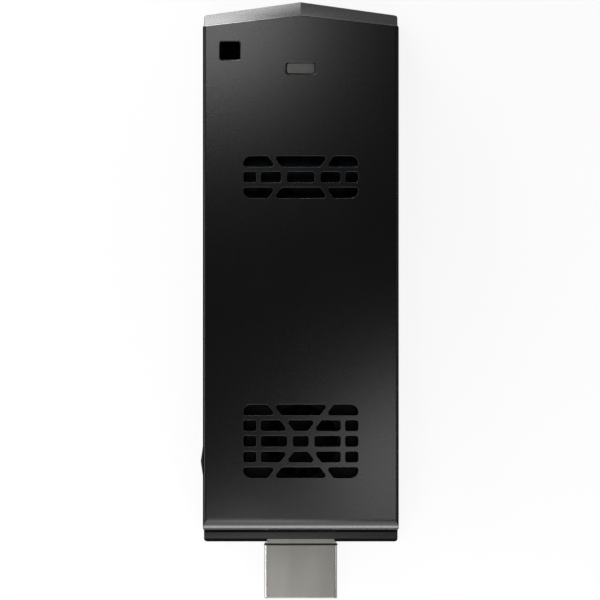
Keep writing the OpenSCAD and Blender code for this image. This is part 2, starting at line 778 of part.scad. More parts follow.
// The slots of one vent about its own centre
module vent_slots(rows, mid_w) {
  hw = vent_w / 2;
  side_x = hw - end_slot_w - end_rib;
  last = (rows - 1) / 2;
  c = slot_corner_r;
  beside = min(c, slot_l - vent_corner_r - slot_edge);
  for (row = [-last:last]) {
    y0 = row * row_pitch - slot_l / 2;
    y1 = row * row_pitch + slot_l / 2;
    in0 = row == 0 ? mid_w / 2 : brace_edge(y0, rows, -1);
    in1 = row == 0 ? mid_w / 2 : brace_edge(y1, rows, -1);
    out0 = row == 0 ? mid_w / 2 + mid_rib : brace_edge(y0, rows, 1);
    out1 = row == 0 ? mid_w / 2 + mid_rib : brace_edge(y1, rows, 1);
    outer_x = abs(row) == last ? hw : side_x;
    r0 = row == -last ? vent_corner_r : row == last ? beside : c;
    r1 = row == last ? vent_corner_r : row == -last ? beside : c;
    slot([[-in0, y0], [in0, y0], [in1, y1], [-in1, y1]], [c, c, c, c]);
    for (m = side_turns) mirror([m, 0]) {
      slot([[out0, y0], [outer_x, y0], [outer_x, y1], [out1, y1]], [c, r0, r1, c]);
      if (abs(row) < last) plain_slot(hw - end_slot_w / 2, row * row_pitch, end_slot_w, slot_l);
    }
  }
}

// Snap hooks stand at these places along both sides, clear of the ports
hook_places = [front_y + hook_front, (micro_y + usb_y) / 2 - hook_l, led_y];

module hooks(out, hl, z_room) {
  root = tongue_hw - joined;
  z = tray_h + tongue_h / 2;
  rise = out + z_room;
  for (m = side_turns, y = hook_places) mirror([m, 0, 0])
    y_prism(y - hl, y + hl) polygon([[root, z - rise], [tongue_hw + out, z], [root, z + rise]]);
}

module cover_outer() {
  difference() {
    intersection() {
      z_prism(cover_z, body_h)
        polygon(rounded(roof_plan(cover_hw, cover_front, cover_apex, ridge_angle),
          [corner_r, corner_r, corner_r, 0, corner_r]));
      y_prism(front_y - past, apex_y + past)
        polygon(rounded(box_outline(-cover_hw, cover_hw, cover_z - past, body_h),
          [0, 0, cover_edge_r, cover_edge_r]));
      x_prism(-body_w, body_w)
        polygon(rounded(box_outline(cover_front, apex_y + past, cover_z - past, body_h),
          [0, 0, 0, roll_r], roll_steps));
    }
    roof_cut(cover_apex - roof_bevel, body_h, ridge_angle, bevel_slope);
  }
}

module cover_space() {
  z_prism(cover_z - past, tongue_z)
    polygon(roof_plan(tongue_hw + fit_gap, cover_in_front, tongue_apex + fit_gap * slant, ridge_angle));
  z_prism(tongue_z - joined, cover_in_z)
    polygon(roof_plan(tray_in_hw, cover_in_front, tray_in_apex, ridge_angle));
}

module top_cover() {
  color("#151515")
  difference() {
    union() {
      difference() {
        cover_outer();
        cover_space();
      }
      block(-(tray_hw - tray_draft), -(cover_hw - cover_wall), micro_y - micro_tab_hl + fit_gap,
        micro_y + micro_tab_hl - fit_gap, micro_tab_z, cover_z + joined);
    }
    translate([0, intake_y, 0]) z_prism(cover_in_z - past, body_h + past)
      vent_slots(intake_rows, intake_mid_w);
    translate([0, outlet_y, 0]) z_prism(cover_in_z - past, body_h + past)
      vent_slots(outlet_rows, outlet_mid_w);
    z_prism(cover_in_z - past, body_h + past) plain_slot(0, led_y, led_w, led_l);
    z_prism(cover_in_z - past, body_h + past) plain_slot(lanyard_x, lanyard_y, lanyard_w, lanyard_l);
    hooks(hook_out + fit_gap, hook_l / 2 + fit_gap, fit_gap);
  }
}

module tray_outer() {
  low_hw = tray_hw - tray_draft;
  difference() {
    intersection() {
      z_prism(0, tray_h)
        polygon(rounded(roof_plan(tray_hw, front_y, apex_y, roof_angle),
          [corner_r, corner_r, corner_r, 0, corner_r]));
      y_prism(front_y - past, apex_y + past)
        polygon(rounded([[-low_hw, 0], [low_hw, 0], [tray_hw, tray_h], [-tray_hw, tray_h]],
          [tray_edge_r, tray_edge_r, 0, 0]));
      x_prism(-body_w, body_w)
        polygon(rounded(box_outline(front_y, apex_y + past, 0, tray_h), [tray_edge_r, 0, 0, ledge_r]));
    }
    roof_cut(cover_apex - seam_gap, tray_h, ridge_angle, facet_slope);
    mirror([0, 0, 1]) roof_cut(apex_y - foot_bevel, 0, roof_angle, bevel_slope);
  }
}

module tongue_ring() {
  difference() {
    z_prism(tray_h - joined, tongue_z)
      polygon(roof_plan(tongue_hw, cover_front + roll_r, tongue_apex, ridge_angle));
    z_prism(tray_h - past, tongue_z + past)
      polygon(roof_plan(tray_in_hw, front_y, tray_in_apex, ridge_angle));
  }
  hooks(hook_out, hook_l / 2, 0);
}

module lanyard_shaft() {
  y0 = lanyard_y - lanyard_l / 2 - lanyard_wall;
  y1 = lanyard_y + lanyard_l / 2 + lanyard_wall;
  x1 = lanyard_x + lanyard_w / 2 + lanyard_wall;
  block(-tray_in_hw - joined, x1, y0, y1, tray_floor - joined, tray_h);
  block(-tray_in_hw + fit_gap, x1, y0, y1, tray_h - joined, cover_in_z - fit_gap);
}

module lanyard_passage() {
  y0 = lanyard_y - lanyard_l / 2;
  y1 = lanyard_y + lanyard_l / 2;
  slab(lanyard_x, lanyard_y, lanyard_w, lanyard_l, lanyard_floor_z, body_h);
  block(-body_w, lanyard_x, y0, y1, lanyard_floor_z, lanyard_floor_z + lanyard_exit_h);
}

// A hole through one side wall of the tray
module side_hole(side, y, hl, z0, z1) {
  translate([side * tray_hw, y, 0]) block(-tray_wall - past, tray_wall + past, -hl, hl, z0, z1);
}

module bottom_tray() {
  color("#121212")
  difference() {
    union() {
      difference() {
        tray_outer();
        z_prism(tray_floor, tray_h + past)
          polygon(roof_plan(tray_in_hw, tray_in_front, tray_in_apex, ridge_angle));
      }
      tongue_ring();
      for (p = board_screw_places) translate([p.x, p.y, tray_floor - joined])
        cylinder(d = boss_d, h = board_z - tray_floor + joined);
      lanyard_shaft();
    }
    for (p = board_screw_places) translate([p.x, p.y, board_z - screw_bite - hole_gap])
      cylinder(d = screw_d + hole_gap / 2, h = screw_bite + past);
    lanyard_passage();
    translate([0, 0, port_z]) y_prism(front_y - past, tray_in_front + past)
      polygon(inset(cut_outline(plug_w, plug_h, plug_cut_w, plug_cut_h), -fit_gap / 2));
    block(-notch_hw, notch_hw, front_y - past, front_y + plug_notch, port_z, tray_h + past);
    side_hole(-1, usb_y, usb_w / 2 + port_gap, port_z - usb_h / 2 - port_gap, body_h);
    side_hole(-1, micro_y, micro_tab_hl, port_z - micro_h / 2 - port_gap, body_h);
    side_hole(-1, button_y, button_l / 2 + button_gap, port_z - button_h / 2 - button_gap,
      port_z + button_h / 2 + button_gap);
    side_hole(1, card_y, card_w / 2, card_mid - card_h / 2, card_mid + card_h / 2);
  }
}

module led_lens() {
  guide_l = led_l - 2 * fit_gap;
  color("#6f6a62")
  union() {
    z_prism(cover_in_z - joined, body_h - led_recess) plain_slot(0, led_y, led_w - 2 * fit_gap, guide_l);
    slab(0, led_y, led_w + 2 * lens_rim, led_l + 2 * lens_rim, cover_in_z - lens_rim_t, cover_in_z);
    slab(0, led_y, guide_w, guide_l, board_top + led_chip_h + fit_gap, cover_in_z - joined);
  }
}

module led_chip() {
  color("#e8e2c4")
  slab(0, led_y, led_chip_w, led_chip_l, board_top, board_top + led_chip_h);
}

module power_button() {
  hl = button_l / 2;
  flange_hl = hl + button_flange;
  root_x = flange_x + joined;
  peak_x = -(cover_hw + button_peak);
  end_x = peak_x + hl * tan(button_angle);
  color("#161616")
  translate([0, button_y, 0]) union() {
    z_prism(port_z - button_h / 2, port_z + button_h / 2)
      polygon([[root_x, -hl], [root_x, hl], [end_x, hl], [peak_x, 0], [end_x, -hl]]);
    block(flange_x, flange_in, -flange_hl, flange_hl, flange_z0, flange_z1);
  }
}

module plunger_block(x0, x1, room) {
  hl = plunger_l / 2 + room;
  hh = plunger_h / 2 + room;
  translate([0, button_y, switch_mid_z]) block(x0, x1, -hl, hl, -hh, hh);
}

module switch_body() {
  color("#2b2b2b")
  difference() {
    slab(switch_x + switch_w / 2, button_y, switch_w, switch_l, board_top, board_top + switch_h);
    plunger_block(switch_x - past, plunger_end + button_travel + fit_gap, fit_gap);
  }
}

module switch_plunger() {
  color("#8c8c8c")
  plunger_block(plunger_tip, plunger_end, 0);
}

function plug_outline(d) =
  rounded(inset(cut_outline(plug_w, plug_h, plug_cut_w, plug_cut_h), d),
    [0, 0, 0, max(plug_corner_r - d, 0), max(plug_corner_r - d, 0), 0], plug_steps);

module plug_prism(y0, y1, d) {
  translate([0, 0, port_z]) y_prism(y0, y1) polygon(plug_outline(d));
}

module hdmi_shell() {
  color("#8f8c86")
  difference() {
    plug_prism(plug_tip, rim_y - rim_l, 0);
    plug_prism(plug_tip - past, rim_y + past, plug_sheet);
  }
}

module hdmi_shield() {
  leg_x = plug_w / 2 - shield_step - plug_sheet;
  color("#8a8781")
  union() {
    difference() {
      plug_prism(rim_y, plug_back, shield_step);
      plug_prism(rim_y - past, plug_back + past, shield_step + plug_sheet);
    }
    for (m = side_turns) mirror([m, 0, 0])
      block(leg_x, leg_x + plug_sheet, plug_back - shield_leg, plug_foot_y, board_top, board_top + shield_leg);
  }
}

module hdmi_insulator() {
  core = shield_step + plug_sheet + fit_gap / 4;
  color("#1b1b1b")
  difference() {
    union() {
      plug_prism(plug_tip + plug_setback, plug_back, core);
      plug_prism(rim_y - rim_l, rim_y, -rim_out);
    }
    block(-plug_slot_w / 2, plug_slot_w / 2, plug_tip - past, plug_back + past,
      port_z - plug_slot_h / 2, port_z + plug_slot_h / 2);
  }
}

module plug_row(count) {
  hw = plug_pin_w / 2;
  top = plug_slot_h / 2;
  foot = board_t / 2;
  for (i = [0:count - 1]) translate([(i - (count - 1) / 2) * plug_pitch, 0, 0])
    union() {
      block(-hw, hw, plug_tip + plug_setback + pin_setback, plug_back + pin_t, top - pin_t, top);
      block(-hw, hw, plug_back, plug_back + pin_t, foot, top);
      block(-hw, hw, plug_back, plug_foot_y, foot, foot + pin_t);
    }
}

module hdmi_contacts() {
  color("#c9a24a")
  translate([0, 0, port_z]) {
    plug_row(plug_pins);
    mirror([0, 0, 1]) plug_row(plug_pins - 1);
  }
}

module port_ears(y, w, x0, x1) {
  for (m = side_turns) translate([0, y, 0]) mirror([0, m, 0])
    block(x0, x1, w / 2 - port_sheet, w / 2 + port_ear_w, board_top, board_top + port_sheet);
}

// A row of bent contacts: a strip along X, a riser behind the port and a foot on the board
module bent_pins(count, pitch, w, x_tip, x_back, z_strip) {
  foot_end = x_back + port_clear + port_foot_l;
  for (i = [0:count - 1]) translate([0, (i - (count - 1) / 2) * pitch, 0])
    union() {
      block(x_tip, x_back + port_pin_t, -w / 2, w / 2, z_strip - port_pin_t, z_strip);
      block(x_back, x_back + port_pin_t, -w / 2, w / 2, z_strip - port_pin_t, board_top + port_pin_t);
      block(x_back, foot_end, -w / 2, w / 2, board_top, board_top + port_pin_t);
    }
}

function usb_outline(d) =
  let (r = usb_corner_r - d)
  rounded(box_outline(-usb_w / 2 + d, usb_w / 2 - d, -usb_h / 2 + d, usb_h / 2 - d), [r, r, r, r]);

module usb_prism(x0, x1, d) {
  translate([0, usb_y, port_z]) x_prism(x0, x1) polygon(usb_outline(d));
}

usb_tongue_z = port_z + usb_h / 2 - port_sheet - usb_tongue_gap - usb_tongue_t;

module usb_shell() {
  color("#a9a9ab")
  union() {
    difference() {
      usb_prism(port_mouth, usb_end, 0);
      usb_prism(port_mouth - past, usb_end + past, port_sheet);
    }
    port_ears(usb_y, usb_w, port_mouth + usb_ear_x, port_mouth + usb_ear_x + usb_ear_l);
  }
}

module usb_contacts() {
  color("#c9a24a")
  translate([0, usb_y, 0])
    bent_pins(usb_pins, usb_pitch, usb_pin_w, port_tip + port_recess, usb_end, usb_tongue_z);
}

module usb_tongue() {
  color("#202024")
  difference() {
    union() {
      usb_prism(usb_end - usb_block_l, usb_end, port_sheet + fit_gap / 2);
      translate([0, usb_y, usb_tongue_z])
        block(port_tip, usb_end - joined, -usb_tongue_w / 2, usb_tongue_w / 2, 0, usb_tongue_t);
    }
    usb_contacts();
  }
}

function micro_outline(d) = inset(cut_outline(micro_w, micro_h, micro_cut_w, micro_cut_h), d);

module micro_prism(x0, x1, d) {
  translate([0, micro_y, port_z]) x_prism(x0, x1) polygon(micro_outline(d));
}

micro_tongue_z = port_z - micro_tongue_drop;

module micro_usb_shell() {
  color("#a9a9ab")
  union() {
    difference() {
      micro_prism(port_mouth, micro_end, 0);
      micro_prism(port_mouth - past, micro_end + past, port_sheet);
    }
    port_ears(micro_y, micro_w, micro_end - micro_ear_l, micro_end);
  }
}

module micro_usb_contacts() {
  color("#c9a24a")
  translate([0, micro_y, 0])
    bent_pins(micro_pins, micro_pitch, micro_pin_w, port_tip + port_recess, micro_end, micro_tongue_z);
}

module micro_usb_tongue() {
  color("#202024")
  difference() {
    union() {
      micro_prism(micro_end - micro_block_l, micro_end, port_sheet + fit_gap / 2);
      translate([0, micro_y, micro_tongue_z])
        block(port_tip, micro_end - joined, -micro_tongue_w / 2, micro_tongue_w / 2, 0, micro_tongue_t);
    }
    micro_usb_contacts();
  }
}

module card_base() {
  color("#222226")
  union() {
    block(socket_end, socket_mouth, card_y - socket_hw, card_y + socket_hw, card_high, board_z);
    block(socket_end, spring_x0, card_y - socket_hw, card_y + socket_hw, card_low, card_high + joined);
  }
}

module card_cover() {
  hw = socket_w / 2;
  color("#a4a6a8")
  translate([0, card_y, 0]) difference() {
    block(socket_end, socket_mouth, -hw, hw, socket_low, board_z);
    block(socket_end - past, socket_mouth + past, -socket_hw, socket_hw, card_low, board_z + past);
  }
}

module card_contacts() {
  x = spring_x0 + card_pin_l / 2;
  y0 = card_y - slider_w / 2 - (card_pins - 1) / 2 * card_pitch;
  color("#c9a24a")
  for (i = [0:card_pins - 1])
    slab(x, y0 + i * card_pitch, card_pin_l, card_pin_w, card_high - card_pin_t, card_high);
}

module card_slider() {
  z0 = card_low + slider_gap;
  z1 = card_high - card_pin_t - slider_gap;
  color("#d8d5cc")
  union() {
    block(slider_x0, slider_x1, slider_y0, slider_y1, z0, z1);
    block(slider_x1 - slider_hook_l, slider_x1, slider_y0 - slider_hook, slider_y0 + joined, z0, z1);
  }
}

spring_r = (spring_d - spring_wire) / 2;
spring_mid = [(slider_y0 + slider_y1) / 2, (card_low + card_high - card_pin_t) / 2];
spring_steps = spring_turns * coil_steps;
spring_route = [for (i = [0:spring_steps])
  let (t = i / spring_steps, a = 360 * spring_turns * t)
  [spring_x0 + spring_wire / 2 + (slider_x0 - spring_x0 - spring_wire) * t,
   spring_mid.x + spring_r * cos(a), spring_mid.y + spring_r * sin(a)]];

module card_spring() {
  color("#b0b0b0")
  tube(spring_route, spring_wire / 2, coil_sides, [1, 0, 0]);
}

// A notch in the long edge of the board that the ports stand at
module edge_notch(y, hl, x1) {
  block(-body_w, x1, y - hl, y + hl, 0, body_h);
}

// Upright holes at a list of places
module drill(places, d) {
  for (p = places) translate([p.x, p.y, 0]) cylinder(d = d, h = body_h);
}

module main_board() {
  shaft_x = lanyard_x + lanyard_w / 2 + lanyard_wall + board_gap;
  shaft_y = lanyard_y - lanyard_l / 2 - lanyard_wall - board_gap;
  color("#12324a")
  difference() {
    block(-board_hw, board_hw, board_front, board_back, board_z, board_top);
    block(-body_w, shaft_x, shaft_y, body_l, 0, body_h);
    edge_notch(button_y, button_l / 2 + button_flange + board_gap, button_notch);
    edge_notch(usb_y, usb_w / 2 + port_gap, usb_end + port_clear);
    edge_notch(micro_y, micro_tab_hl, micro_end + port_clear);
    drill(board_screw_places, screw_d + hole_gap);
    drill(cooler_screw_places, cooler_screw_d + hole_gap);
  }
}

module cross_screw(d, bite, head_d, head_h) {
  hl = head_d * cross_l / 2;
  hw = head_d * cross_w / 2;
  difference() {
    union() {
      translate([0, 0, -bite]) cylinder(d = d, h = bite + joined);
      cylinder(d = head_d, h = head_h);
    }
    for (a = [0, 90]) rotate([0, 0, a])
      block(-hl, hl, -hw, hw, head_h * (1 - cross_depth), head_h + past);
  }
}

module board_screws() {
  color("#c2c3c6")
  for (p = board_screw_places) translate([p.x, p.y, board_top])
    cross_screw(screw_d, board_t + screw_bite, screw_head_d, screw_head_h);
}

module processor() {
  color("#26352c")
  union() {
    slab(0, chip_y, chip_w, chip_w, board_top, board_top + chip_base_t);
    slab(0, chip_y, die_w, die_w, board_top, board_top + chip_h);
  }
}

module thermal_pad() {
  color("#9aa7b0")
  slab(0, chip_y, pad_w, pad_w, board_top + chip_h, sink_z);
}

module memory_chips() {
  color("#1d1d1f")
  for (sx = [-1, 1], sy = [-1, 1])
    slab(sx * (memory_w + memory_gap) / 2, chip_y + sy * (memory_l + memory_gap) / 2, memory_w, memory_l,
      board_z - memory_h, board_z);
}

module storage_chip() {
  color("#1f1f22")
  slab(0, intake_y, storage_w, storage_l, board_z - memory_h, board_z);
}

// The strip of board beside the processor, under the heat sink
strip_x = (chip_w + sink_w) / 4;
strip_y = chip_y - chip_w / 4;

module power_regulator() {
  y = strip_y - regulator_w / 2 - strip_gap;
  color("#242428")
  slab(strip_x, y, regulator_w, regulator_w, board_top, board_top + regulator_h);
}

module power_chokes() {
  y0 = strip_y + choke_w / 2;
  color("#4a4b4e")
  for (i = [0:chokes - 1])
    slab(strip_x, y0 + i * (choke_w + strip_gap), choke_w, choke_w, board_top, board_top + choke_h);
}

// The row of small pieces behind the heat sink
capacitor_y = chip_y + sink_l / 2 + strip_gap + capacitor_l / 2;
crystal_y = capacitor_y + capacitor_l / 2 + strip_gap + crystal_w / 2;

module capacitor_row() {
  color("#a58a63")
  for (i = [0:capacitors - 1])
    slab((i - (capacitors - 1) / 2) * capacitor_pitch, capacitor_y, capacitor_w, capacitor_l,
      board_top, board_top + capacitor_w);
}

module clock_crystal() {
  color("#b9babd")
  slab(0, crystal_y, crystal_l, crystal_w, board_top, board_top + crystal_h);
}

module heat_sink() {
  y0 = chip_y - sink_l / 2;
  y1 = chip_y + sink_l / 2;
  fin_pitch = (sink_w - fin_t) / (fins - 1);
  room = 2 * sink_edge + fin_gap;
  color("#b4b7ba")
  difference() {
    union() {
      block(-sink_w / 2, sink_w / 2, y0, y1, sink_z, seat_z);
      for (i = [0:fins - 1]) translate([-sink_w / 2 + i * fin_pitch, 0, 0])
        block(0, fin_t, y0, y1, seat_z - joined, fin_top);
      for (p = sink_screws) translate([p.x, p.y, board_top])
        cylinder(d = post_d, h = sink_z - board_top + joined);
    }
    drill(sink_screws, cooler_screw_d + hole_gap);
    for (p = sink_screws) slab(p.x, p.y, room, room, seat_z, body_h);
  }
}

module cooler_screws() {
  color("#c2c3c6")
  for (p = cooler_screw_places) translate([p.x, p.y, seat_z])
    cross_screw(cooler_screw_d, seat_z - board_z + nut_t, cooler_head_d, cooler_head_h);
}

module cooler_nuts() {
  color("#b8b39b")
  for (p = cooler_screw_places) translate([p.x, p.y, board_z - nut_t])
    difference() {
      cylinder(d = nut_w / cos(30), h = nut_t, $fn = 6);
      translate([0, 0, -past]) cylinder(d = cooler_screw_d + hole_gap / 2, h = nut_t + 2 * past);
    }
}

module at_fan() {
  translate([0, intake_y, 0]) children();
}

module fan_pockets(z0) {
  for (m = side_turns) mirror([m, 0, 0])
    block(fan_w / 2 - fan_pocket_w, fan_w, -fan_w, fan_pocket_w - fan_w / 2, z0, body_h);
}

module fan_housing() {
  color("#1c1c1e")
  at_fan() difference() {
    slab(0, 0, fan_w, fan_w, board_top, fan_ceiling);
    translate([0, 0, fan_floor]) cylinder(r = chamber_r, h = body_h);
    block(-chamber_r, chamber_r, 0, fan_w, fan_floor, body_h);
    fan_pockets(seat_z);
    drill(fan_corners, cooler_screw_d + hole_gap);
  }
}

module fan_plate() {
  color("#9fa1a4")
  at_fan() difference() {
    slab(0, 0, fan_w, fan_w, fan_ceiling, fan_top);
    translate([0, 0, fan_ceiling - past]) cylinder(d = inlet_d, h = fan_plate_t + 2 * past);
    fan_pockets(0);
  }
}

function blade_side(r0, r1, offset_deg, n) =
  [for (i = [0:n])
    let (r = r0 + (r1 - r0) * i / n, t = i / n)
    arc_at([0, 0], r, offset_deg - blade_lean * t * t)];

module one_blade() {
  r0 = hub_d / 2 - joined;
  half0 = blade_t / 2 / r0 * 180 / PI;
  half1 = blade_t / 2 / blade_r * 180 / PI;
  left = blade_side(r0, blade_r, half0, blade_steps);
  right = blade_side(r0, blade_r, -half1, blade_steps);
  polygon(concat(right, [for (i = [len(left) - 1:-1:0]) left[i]]));
}

module fan_rotor() {
  color("#232326")
  at_fan() difference() {
    union() {
      translate([0, 0, rotor_low]) cylinder(d = hub_d, h = hub_top - rotor_low);
      for (i = [0:blades - 1]) rotate([0, 0, 360 * i / blades])
        z_prism(rotor_low + rotor_gap, hub_top) one_blade();
    }
    translate([0, 0, fan_floor]) cylinder(d = hub_d - 2 * hub_wall, h = hub_ceiling - fan_floor);
    translate([0, 0, fan_floor]) cylinder(d = shaft_d, h = hub_ceiling - fan_floor + hub_wall / 2);
  }
}

module fan_shaft() {
  color("#d0d1d3")
  at_fan() translate([0, 0, fan_floor + rotor_gap / 4])
    cylinder(d = shaft_d, h = hub_ceiling + hub_wall / 2 - fan_floor - rotor_gap / 4);
}

module fan_magnet() {
  d = hub_d - 2 * hub_wall - fit_gap / 2;
  color("#3a3a3d")
  at_fan() translate([0, 0, rotor_low]) difference() {
    cylinder(d = d, h = hub_ceiling - rotor_low);
    translate([0, 0, -past]) cylinder(d = d - 2 * magnet_t, h = body_h);
  }
}

module fan_bearing() {
  color("#b98f4e")
  at_fan() translate([0, 0, fan_floor]) difference() {
    cylinder(d = bearing_d, h = hub_ceiling - rotor_gap - fan_floor);
    translate([0, 0, -past]) cylinder(d = shaft_d + 2 * shaft_gap, h = body_h);
  }
}

module fan_stator() {
  core_h = (hub_ceiling - fan_floor) * stator_fill;
  arm_hw = stator_arm_w / 2;
  color("#b06a35")
  at_fan() translate([0, 0, fan_floor]) difference() {
    union() {
      cylinder(d = bearing_d + 2 * stator_ring_t, h = core_h);
      intersection() {
        cylinder(r = stator_r, h = core_h);
        for (a = [0, 90]) rotate([0, 0, a]) block(-stator_r, stator_r, -arm_hw, arm_hw, 0, core_h);
      }
    }
    translate([0, 0, -past]) cylinder(d = bearing_d + fit_gap / 2, h = body_h);
  }
}

fan_plug_x = board_hw - fan_plug_side - fan_plug_w / 2;
fan_plug_y = intake_y + fan_w / 2 - fan_plug_back;
lead_z = board_top + fan_plug_h / 2;

module fan_connector() {
  color("#e4e0d2")
  slab(fan_plug_x, fan_plug_y, fan_plug_w, fan_plug_l, board_top, board_top + fan_plug_h);
}

module fan_lead() {
  x0 = fan_w / 2;
  x1 = fan_plug_x - fan_plug_w / 2;
  reach = (x1 - x0) * [lead_reach, 0, 0];
  color("#8b1e1e")
  for (s = [-1, 1]) tube(
    cable_route([x0, fan_plug_y + s * wire_d - wire_d / 2, lead_z],
      [x1, fan_plug_y + s * wire_d, lead_z], reach, reach, wire_steps),
    wire_d / 2, wire_sides, [0, 0, 1]);
}

module wireless_module() {
  color("#a9abad")
  slab(module_x, module_y, module_w, module_w, board_top, board_top + module_h);
}

aerial_plug_y = module_y + module_w / 2 + aerial_plug_d;

module antenna_plug() {
  color("#c9a24a")
  translate([module_x, aerial_plug_y, board_top]) cylinder(d = aerial_plug_d, h = aerial_plug_h);
}

antenna_mid = tray_in_hw / 2;
antenna_z = board_top - antenna_drop;
function antenna_wall(x) = tray_in_apex - fit_gap / 4 - x * tan(ridge_angle);

module antenna() {
  color("#b87333")
  translate([antenna_mid, antenna_wall(antenna_mid), antenna_z]) rotate([0, 0, -ridge_angle])
    block(-antenna_l / 2, antenna_l / 2, -antenna_t, 0, 0, antenna_h);
}

module antenna_cable() {
  z = board_top + aerial_plug_h - aerial_d / 2;
  start = [module_x - aerial_plug_d / 2, aerial_plug_y, z];
  end_x = antenna_mid - antenna_l / 4;
  end = [end_x, antenna_wall(end_x) - (antenna_t + fit_gap / 4) * slant, z];
  reach = cable_reach * aerial_d;
  arrive = [sin(ridge_angle), cos(ridge_angle), 0];
  color("#2e2e30")
  tube(cable_route(start, end, reach * [-1, 0, 0], reach * arrive, wire_steps),
    aerial_d / 2, wire_sides, [0, 0, 1]);
}

top_cover();
bottom_tray();
led_lens();
led_chip();
power_button();
switch_body();
switch_plunger();
hdmi_shell();
hdmi_shield();
hdmi_insulator();
hdmi_contacts();
usb_shell();
usb_tongue();
usb_contacts();
micro_usb_shell();
micro_usb_tongue();
micro_usb_contacts();
card_base();
card_cover();
card_contacts();
card_slider();
card_spring();
main_board();
board_screws();
processor();
thermal_pad();
memory_chips();
storage_chip();
power_regulator();
power_chokes();
capacitor_row();
clock_crystal();
heat_sink();
cooler_screws();
cooler_nuts();
fan_housing();
fan_plate();
fan_rotor();
fan_shaft();
fan_magnet();
fan_bearing();
fan_stator();
fan_connector();
fan_lead();
wireless_module();
antenna_plug();
antenna();
antenna_cable();
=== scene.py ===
import math

import bmesh
import bpy
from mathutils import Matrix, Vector


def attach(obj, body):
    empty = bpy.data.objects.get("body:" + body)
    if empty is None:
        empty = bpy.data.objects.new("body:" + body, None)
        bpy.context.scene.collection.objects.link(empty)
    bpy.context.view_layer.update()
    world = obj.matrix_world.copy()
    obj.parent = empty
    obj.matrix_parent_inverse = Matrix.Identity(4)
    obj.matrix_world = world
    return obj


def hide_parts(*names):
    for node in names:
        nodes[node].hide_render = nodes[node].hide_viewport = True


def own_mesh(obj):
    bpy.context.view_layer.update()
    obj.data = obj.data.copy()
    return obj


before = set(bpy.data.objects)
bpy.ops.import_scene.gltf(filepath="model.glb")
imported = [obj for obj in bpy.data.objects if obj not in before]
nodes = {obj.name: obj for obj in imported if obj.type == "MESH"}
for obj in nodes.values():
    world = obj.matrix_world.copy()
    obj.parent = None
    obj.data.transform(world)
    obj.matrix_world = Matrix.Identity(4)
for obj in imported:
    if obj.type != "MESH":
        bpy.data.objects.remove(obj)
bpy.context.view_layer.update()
mm = 0.001  # sizes below are in millimetres


# camera, straight down on the top face

cameraLook = {
    "aim": (-0.15, -5.42, 12.5),
    "width": 114.81,  # what the frame spans at the top face
    "lens": 800,
    "sensor": 36,
    "clip": (10, 20000),
}


def makeCamera(look):
    data = bpy.data.cameras.new("topCamera")
    data.lens = look["lens"]
    data.sensor_width = look["sensor"]
    data.clip_start, data.clip_end = (distance * mm for distance in look["clip"])
    away = look["width"] * look["lens"] / look["sensor"]
    camera = bpy.data.objects.new("topCamera", data)
    x, y, z = look["aim"]
    camera.location = Vector((x, y, z + away)) * mm
    bpy.context.scene.collection.objects.link(camera)
    bpy.context.scene.camera = camera


makeCamera(cameraLook)


# finishes, which all read Object coordinates

noiseSpan = (0.3, 0.7)  # the part of a noise's range that a finish uses
grainDetail, cloudDetail = 3.0, 2.0
grainStrength = 0.3  # of the bump


def addNode(tree, kind, inputs=None, **settings):
    node = tree.nodes.new(kind)
    for key, value in settings.items():
        setattr(node, key, value)
    for key, value in (inputs or {}).items():
        node.inputs[key].default_value = value
    return node


def join(tree, *links):
    # each link is a node with its output, then a node with its input
    for first, output, second, entry in links:
        tree.links.new(first.outputs[output], second.inputs[entry])


def startFinish(name):
    material = bpy.data.materials.new(name)
    material.use_nodes = True
    tree = material.node_tree
    shader = tree.nodes["Principled BSDF"]
    place = addNode(tree, "ShaderNodeTexCoord")
    return material, tree, shader, place.outputs["Object"]


def noiseAt(tree, place, size, detail, stretch):
    mapping = addNode(tree, "ShaderNodeMapping", {"Scale": stretch})
    noise = addNode(tree, "ShaderNodeTexNoise", {"Scale": 1 / (size * mm), "Detail": detail})
    tree.links.new(place, mapping.inputs["Vector"])
    join(tree, (mapping, "Vector", noise, "Vector"))
    return noise.outputs["Fac"]


def tonesBy(tree, factor, dark, light, span=noiseSpan):
    ramp = addNode(tree, "ShaderNodeValToRGB")
    for mark, place, tone in zip(ramp.color_ramp.elements, span, (dark, light)):
        mark.position = place
        mark.color = (*tone, 1)
    tree.links.new(factor, ramp.inputs["Fac"])
    return ramp.outputs["Color"]


def rangeBy(tree, factor, low, high):
    spread = addNode(tree, "ShaderNodeMapRange", {
        "From Min": noiseSpan[0], "From Max": noiseSpan[1], "To Min": low, "To Max": high})
    tree.links.new(factor, spread.inputs["Value"])
    return spread.outputs["Result"]


def addBump(tree, shader, height, strength, depth):
    bump = addNode(tree, "ShaderNodeBump", {"Strength": strength, "Distance": depth * mm})
    tree.links.new(height, bump.inputs["Height"])
    join(tree, (bump, "Normal", shader, "Normal"))


def grainFinish(name, look):
    material, tree, shader, place = startFinish(name)
    stretch = look.get("stretch", (1, 1, 1))
    grain = noiseAt(tree, place, look["grain"], grainDetail, stretch)
    cloud = noiseAt(tree, place, look["cloud"], cloudDetail, stretch)
    colour = tonesBy(tree, cloud, look["dark"], look["light"])
    tree.links.new(colour, shader.inputs["Base Color"])
    tree.links.new(rangeBy(tree, grain, *look["rough"]), shader.inputs["Roughness"])
    addBump(tree, shader, grain, grainStrength, look["bump"])
    shader.inputs["Metallic"].default_value = look.get("metal", 0.0)
    shader.inputs["Specular IOR Level"].default_value = look.get("gloss", 0.5)
    return material


